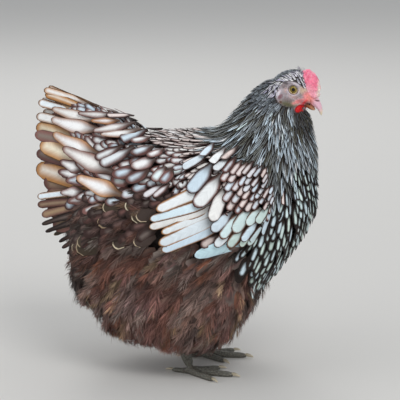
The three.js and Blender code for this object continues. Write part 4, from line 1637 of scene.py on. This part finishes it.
def in_fan(down, out):
    """The place, along and up, at a share of the way down the fan and of the way out to its tips."""
    turn = math.radians(TAIL_TOP + (TAIL_BOTTOM - TAIL_TOP) * down)
    reach = out * float(eased_along(TAIL_REACH, down)) * length
    along = TAIL_POINT[0] - reach * math.cos(turn) / length
    return along, TAIL_POINT[1] + reach * math.sin(turn) / height


# %% Fill the fan
PLAIN_FEATHERS = 9
PLAIN_HALF = 14.0  # half width in mm
TAIL_FILL = 90  # darts thrown for the small coverts of one side
TAIL_GAP = 14 * MM


def plain_row():
    """Broad plain feathers from the fan's middle to near its tips, which close the tent."""
    downs = np.linspace(0.04, 0.97, PLAIN_FEATHERS)
    return [(in_fan(down, 0.25), in_fan(down, 0.90), PLAIN_HALF, "hidden") for down in downs]


def filling(random):
    """Small coverts scattered over the fan's inner half."""
    fill, taken = [], []
    for _ in range(TAIL_FILL):
        down, out = random.uniform(0.06, 0.86), random.uniform(0.25, 0.66)
        root, tip = in_fan(down, out - 0.20), in_fan(down + random.normal(0, 0.04), out + 0.04)
        spot = at(tip[0], 0, tip[1])
        if all((spot - other).length > TAIL_GAP for other in taken):
            taken.append(spot)
            fill.append((root, tip, random.uniform(8.5, 11.0), "saddle"))
    return fill


# %% Lay the tail
FOOT_INNER = 34 * MM  # how near the middle plane the loose feathers come
TAIL_VANE = Vane(10, 6, 0.4, 0.55, 0.0, 1.5, 0.18)
COVERT_VANE = Vane(10, 6, 0.30, 0.48, 0.42, 1.5, 0.20)

tail_batches, tail_covers, fill_covers = [], [], []
for name, side in SIDES.items():
    random = np.random.default_rng(60)
    trees = [coat_tree, tail_tree]
    fill = filling(random)
    for feathers, vane, low, high, sink in (  # first and last feather's rise and the roots' sink, in mm
        (plain_row(), TAIL_VANE, -5.5, -5.5, 4.0),
        (TAIL_FOOT, COVERT_VANE, 0.0, 1.0, 6.0),
        (TAIL_EDGE, TAIL_VANE, -2.0, 1.5, 6.0),
        (fill, COVERT_VANE, 2.2, 2.2, 6.0),
        (TAIL_COVERTS[:POINTED_COVERTS], COVERT_VANE, 6.2, 8.4, 5.0),
        (TAIL_COVERTS[POINTED_COVERTS:], BROAD_VANE, 7.4, 9.6, 5.0),
    ):
        rises = np.linspace(low, high, len(feathers)) + random.uniform(-0.2, 0.2, len(feathers))
        inner = FOOT_INNER if feathers is TAIL_FOOT else 0
        batch, covered = placed(feathers, side, vane, rises, sink, trees, random, 0.10, inner=inner)
        tail_batches.append(batch)
        if feathers is fill:
            fill_covers += covered
        elif feathers is TAIL_EDGE or feathers[0] in TAIL_COVERTS:
            tail_covers += covered
print("the tail has", sum(len(batch["roots"]) for batch in tail_batches), "feathers")

# %% [markdown]
# ## Fluff
# Below the wings a hen is covered in fluff: feathers whose barbs don't hook into a vane but stand
# apart, soft as down. Each is made here as a plume, a quill with some dozens of thin free barbs on both
# sides that bend forward to the tip. Seen from a distance they blend like hair. The tones drift over
# the body in soft patches.

# %% Comb out plumes
PLUME_BARBS = 44
PLUME_SPREAD = 0.40  # length of the longest barbs, as a share of the quill's


def plumes(lines, ups, marks, random):
    """The arrays of a batch of plumes, with barbs as thin strips of two faces."""
    count, steps = lines.shape[:2]
    reach = np.linalg.norm(np.diff(lines, axis=1), axis=2).sum(1)
    spot = np.sort(random.uniform(0.12, 0.97, (count, PLUME_BARBS)), 1) * (steps - 1)
    start, up = along_quills(lines, spot), unit(along_quills(ups, spot))
    ahead = unit(along_quills(unit(np.gradient(lines, axis=1)), spot))
    share = spot / (steps - 1)
    aside = np.cross(ahead, up) * np.where(np.arange(PLUME_BARBS) % 2, 1, -1)[None, :, None]
    angle = np.radians(random.normal(31, 9, (count, PLUME_BARBS)) - 19 * share)[..., None]
    rising = random.normal(0.10, 0.10, (count, PLUME_BARBS, 1))
    size = (PLUME_SPREAD * reach[:, None] * (0.55 + 0.45 * np.sin(np.pi * share)))[..., None]
    size = size * np.exp(random.normal(0, 0.2, (count, PLUME_BARBS, 1)))
    way = unit(ahead * np.cos(angle) + aside * np.sin(angle) + up * rising)
    bent = unit(way + ahead * 0.55 - up * random.uniform(0.0, 0.35, (count, PLUME_BARBS, 1)))
    middle = start + way * size * 0.5
    tip = middle + bent * size * 0.5
    across = unit(np.cross(way, up))
    thick = random.uniform(0.30, 0.55, (count, PLUME_BARBS, 1)) * MM
    rows = [(start, 1.0), (middle, 0.8), (tip, 0.1)]
    points = [place + sign * across * thick * part for place, part in rows for sign in (-1, 1)]
    strip = np.array([[0, 1, 3, 2], [2, 3, 5, 4]])
    shape = (count, PLUME_BARBS, 6)
    out = np.broadcast_to(np.array([0, 0, 0.5, 0.5, 1, 1]), shape)
    along = np.broadcast_to(share[..., None], shape)
    grain = np.broadcast_to(random.uniform(0, 1, (count, PLUME_BARBS, 1)), shape)
    corners = np.array([0.2, 0.8, 0.2, 0.8, 0.4, 0.6])
    sideways = (np.arange(PLUME_BARBS)[None, :, None] + corners) / PLUME_BARBS
    made = {
        "points": np.stack(points, 2).reshape(count, -1, 3),
        "faces": (np.arange(PLUME_BARBS)[:, None, None] * 6 + strip).reshape(-1, 4),
        "inset": np.stack([out, along, grain], -1).reshape(count, -1, 3),
        "barb": np.stack([along, out, grain], -1).reshape(count, -1, 3),
        "cell": np.stack([np.broadcast_to(sideways, shape), 0.1 + 0.8 * out], -1).reshape(count, -1, 2),
        "roots": lines[:, 0],
    }
    for key in ("centre", "rim"):
        shades = np.c_[marks[key], np.ones(count)][:, None, None]
        made[key] = np.broadcast_to(shades, (*shape, 4)).reshape(count, -1, 4)
    return made


# %% Finish the fluff
def fluff_finish():
    """Free barbs: darker at the quill and lighter at the tips, a painted shade deep in the fluff, each with
    its own tone.
    """
    made = Finish("fluff", 0.85, Specular_IOR_Level=0.15)
    along, out, grain = made.parts(made.attribute("barb", "Vector"))
    # painted shade: each barb is darker towards the quill and the plume's root
    outer = made.step(along * 0.7 + out * 0.5, 0.15, 0.9)
    shaded = made.mix(outer, made.attribute("centre"), made.attribute("rim"))
    light = grain * grain * 0.9 + 0.62
    made.set("Base Color", made.times(shaded, light))
    return made


# %% Tone the fluff in patches
PATCH = 26 * MM  # size of the patches of one tone
STRAY_PLUMES = 0.10  # share of the plumes that are lighter than those round them


def patches(places, shift):
    """A value from 0 to 1 that drifts over the body."""
    values = [noise.noise(Vector(place) / PATCH + Vector((shift, 0, 0))) for place in places]
    return np.clip(0.5 + 0.9 * np.array(values), 0, 1)


def fluff_shades(places, random, dark):
    """The tones of plumes: one shade drifting into another, with stray light ones."""
    along = (places[:, 0] - cad_low.x) / length
    warm, pale = patches(places, 3.0), patches(places, 11.0)
    shade = blended("mauve", "red", warm)
    rear = eased((0.42 - along) / 0.15)
    greyed = np.clip(pale * 1.3 - 0.35 + 0.35 * rear, 0, 1)[:, None]
    shade = shade * (1 - greyed) + SHADES["grey"] * greyed
    stray = (random.uniform(0, 1, len(places)) < STRAY_PLUMES)[:, None] * 0.65
    shade = shade * (1 - stray) + SHADES["straw"] * stray
    return shade * (1 - dark) + SHADES["soot"] * dark


# %% Grow a batch of plumes
PLUME_STEPS = 6
STRAIGHT = 0.25  # how much of its own straight way a plume keeps over the surface

fluff = fluff_finish()


def plumed(chosen, seed, dark=0.0, high=2.5):
    """A batch of plumes, rooted at the chosen places."""
    random = np.random.default_rng(seed)
    places, normals = coat_places[chosen], coat_normals[chosen]
    count = len(chosen)
    ways = lie(places, normals)
    ways = unit(ways + np.cross(ways, normals) * random.normal(0, 0.24, (count, 1)))
    reach = sizes[chosen, 1] * np.exp(random.normal(0, 0.14, count))
    lines, ups = laid(places, ways, reach, PLUME_STEPS, straight=STRAIGHT)
    lines = lifted(lines, ups, random.uniform(8, 14, count) * MM, random.uniform(-4, high, count) * MM)
    shade = fluff_shades(places, random, dark) * np.exp(random.normal(0, 0.26, (count, 1)))
    # painted shade: the quill's end of each plume is darker than its tips
    marks = {"centre": shade * 0.45, "rim": np.clip(shade * 1.12, 0, 1)}
    return plumes(lines, ups, marks, random)


# %% [markdown]
# ## The crown behind the comb
# Where the comb ends, a few narrow feathers stand up like bristles. The guides can't make them, for
# they lay every feather down, so these few are made apart: each leaves the skin steeply and bends back.


# %% Raise the bristles behind the comb
BRISTLES = 34
BRISTLE_STEPS = 5
BRISTLE_BACK = np.array([-0.55, 0, 0])  # how far they lean back
BRISTLE_BEND = np.array([-1.8, 0, -0.6]) * MM  # how far their tips are bent


def bristles():
    """A batch of thin short vanes that stand up behind the comb."""
    random = np.random.default_rng(77)
    comb_low, comb_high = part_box("comb")
    roots_at, normals = [], []
    for _ in range(BRISTLES):
        x = comb_low.x + random.uniform(-5, 4) * MM
        y = (comb_low.y + comb_high.y) / 2 + random.uniform(-6, 6) * MM
        found, normal, _, _ = coat_tree.ray_cast(Vector((x, y, cad_high.z + 0.1)), Vector((0, 0, -1)))
        roots_at.append(found)
        normals.append(normal)
    roots_at, normals = np.array(roots_at), np.array(normals)
    ways = unit(normals + BRISTLE_BACK + random.normal(0, 0.18, (BRISTLES, 3)))
    reach = random.uniform(5, 9, BRISTLES) * MM
    rise = np.linspace(0, 1, BRISTLE_STEPS)[None, :, None]
    lines = roots_at[:, None] - normals[:, None] * MM + rise * (ways * reach[:, None])[:, None]
    lines += rise**2 * BRISTLE_BEND
    half = random.uniform(0.35, 0.7, BRISTLES) * MM
    ups = np.repeat(np.cross(ways, unit(np.cross(normals, ways)))[:, None], BRISTLE_STEPS, axis=1)
    return vanes(lines, unit(ups), half, VANES["brow"], marked("brow", half, random), random)


# %% [markdown]
# ## The whole coat
# The wings and the tail are laid already. What is left grows kind by kind over the rest of the body,
# each as a piece of its own, and stays clear of the placed feathers, so that none of them is buried.
# The cape is mixed from dark, silver-edged and pale feathers, and the light ones gather along a streak
# of painted sheen down the neck. Below the tail some brown ones have a pale crescent.


# %% Mix the feathers of the cape and below the tail
# painted sheen: the light hackles gather along this streak down the side of the neck
SHEEN_STREAK = [(0.845, 0.870), (0.940, 0.705)]  # ends, along and up, of the bright streak on the neck
SHEEN_HALF = 8 * MM
CRESCENTS = 0.16  # share of the feathers under the tail with a pale tip


def in_sheen(places):
    """1 in the middle of the neck's streak of painted sheen and 0 far from it."""
    first, last = np.array([at(share, 0, up) for share, up in SHEEN_STREAK])
    course = last - first
    from_first = places * (1, 0, 1) - first
    share = np.clip(from_first @ course / (course @ course), 0, 1)[:, None]
    off = np.linalg.norm(from_first - share * course, axis=1) / SHEEN_HALF
    return np.exp(-off**2)


def cape(kept):
    """Dark feathers, silver-edged ones among them and pale ones over them, most along the painted sheen."""
    streak = in_sheen(coat_places[kept])
    # painted sheen: silver-edged and pale hackles are the bird's own, but they crowd along the streak
    bright = chooser.uniform(0, 1, len(kept)) < 0.20 + 0.7 * streak
    pale = chooser.uniform(0, 1, len(kept)) < 0.04 + 0.25 * streak
    return [
        grown("hackle", kept[~bright], 100),
        grown("hackle", kept[bright], 101, look="hackle", lift=1.6),
        grown("hackle", kept[pale], 102, look="silver", lift=2.2),
    ]


def below_tail(kept):
    """Dusky feathers, and some with a crescent."""
    tipped = chooser.uniform(0, 1, len(kept)) < CRESCENTS
    dusky = grown("under", kept[~tipped], 100, look="dusky", size=0.85)
    return [dusky, grown("under", kept[tipped], 101)]


# %% Grow the coat
CLEARANCES = {"fluff": 0.85, "under": 1.2}  # how far a kind stays off placed feathers; the others by 1.0

for name, batches in wing_batches.items():
    coat_piece("coat_wing_" + name, batches, plumage)
coat_piece("coat_tail", tail_batches, plumage)
covered = tail_covers + covers["left"] + covers["right"]
for index, kind in enumerate(KINDS):
    kept = clear_of(roots[kind], covered, CLEARANCES.get(kind, 1.0))
    if kind == "under":
        kept = clear_of(kept, fill_covers)
        coat_piece("coat_under", below_tail(kept), plumage)
        coat_piece("coat_under_fluff", [plumed(kept, 130, dark=0.62, high=4.0)], fluff)
    elif kind == "fluff":
        coat_piece("coat_fluff_under", [grown(kind, kept, 100 + index, lift=-6.0)], plumage)
        for name, side in SIDES.items():
            half = kept[coat_places[kept, 1] * side > 0]
            coat_piece("coat_fluff_" + name, [plumed(half, 120 + side)], fluff)
    elif kind == "hackle":
        coat_piece("coat_hackle", cape(kept), plumage)
    elif kind != "wing":
        batches = [grown(kind, kept, 100 + index)] + ([bristles()] if kind == "brow" else [])
        coat_piece("coat_" + kind, batches, plumage)

# %% [markdown]
# ## Measure and finish
# The surface that the coat was laid on has done its work and is removed, and the box of the finished
# bird is measured.

# %% Remove the surface and measure the bird
discard(coat_form)
low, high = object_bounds()
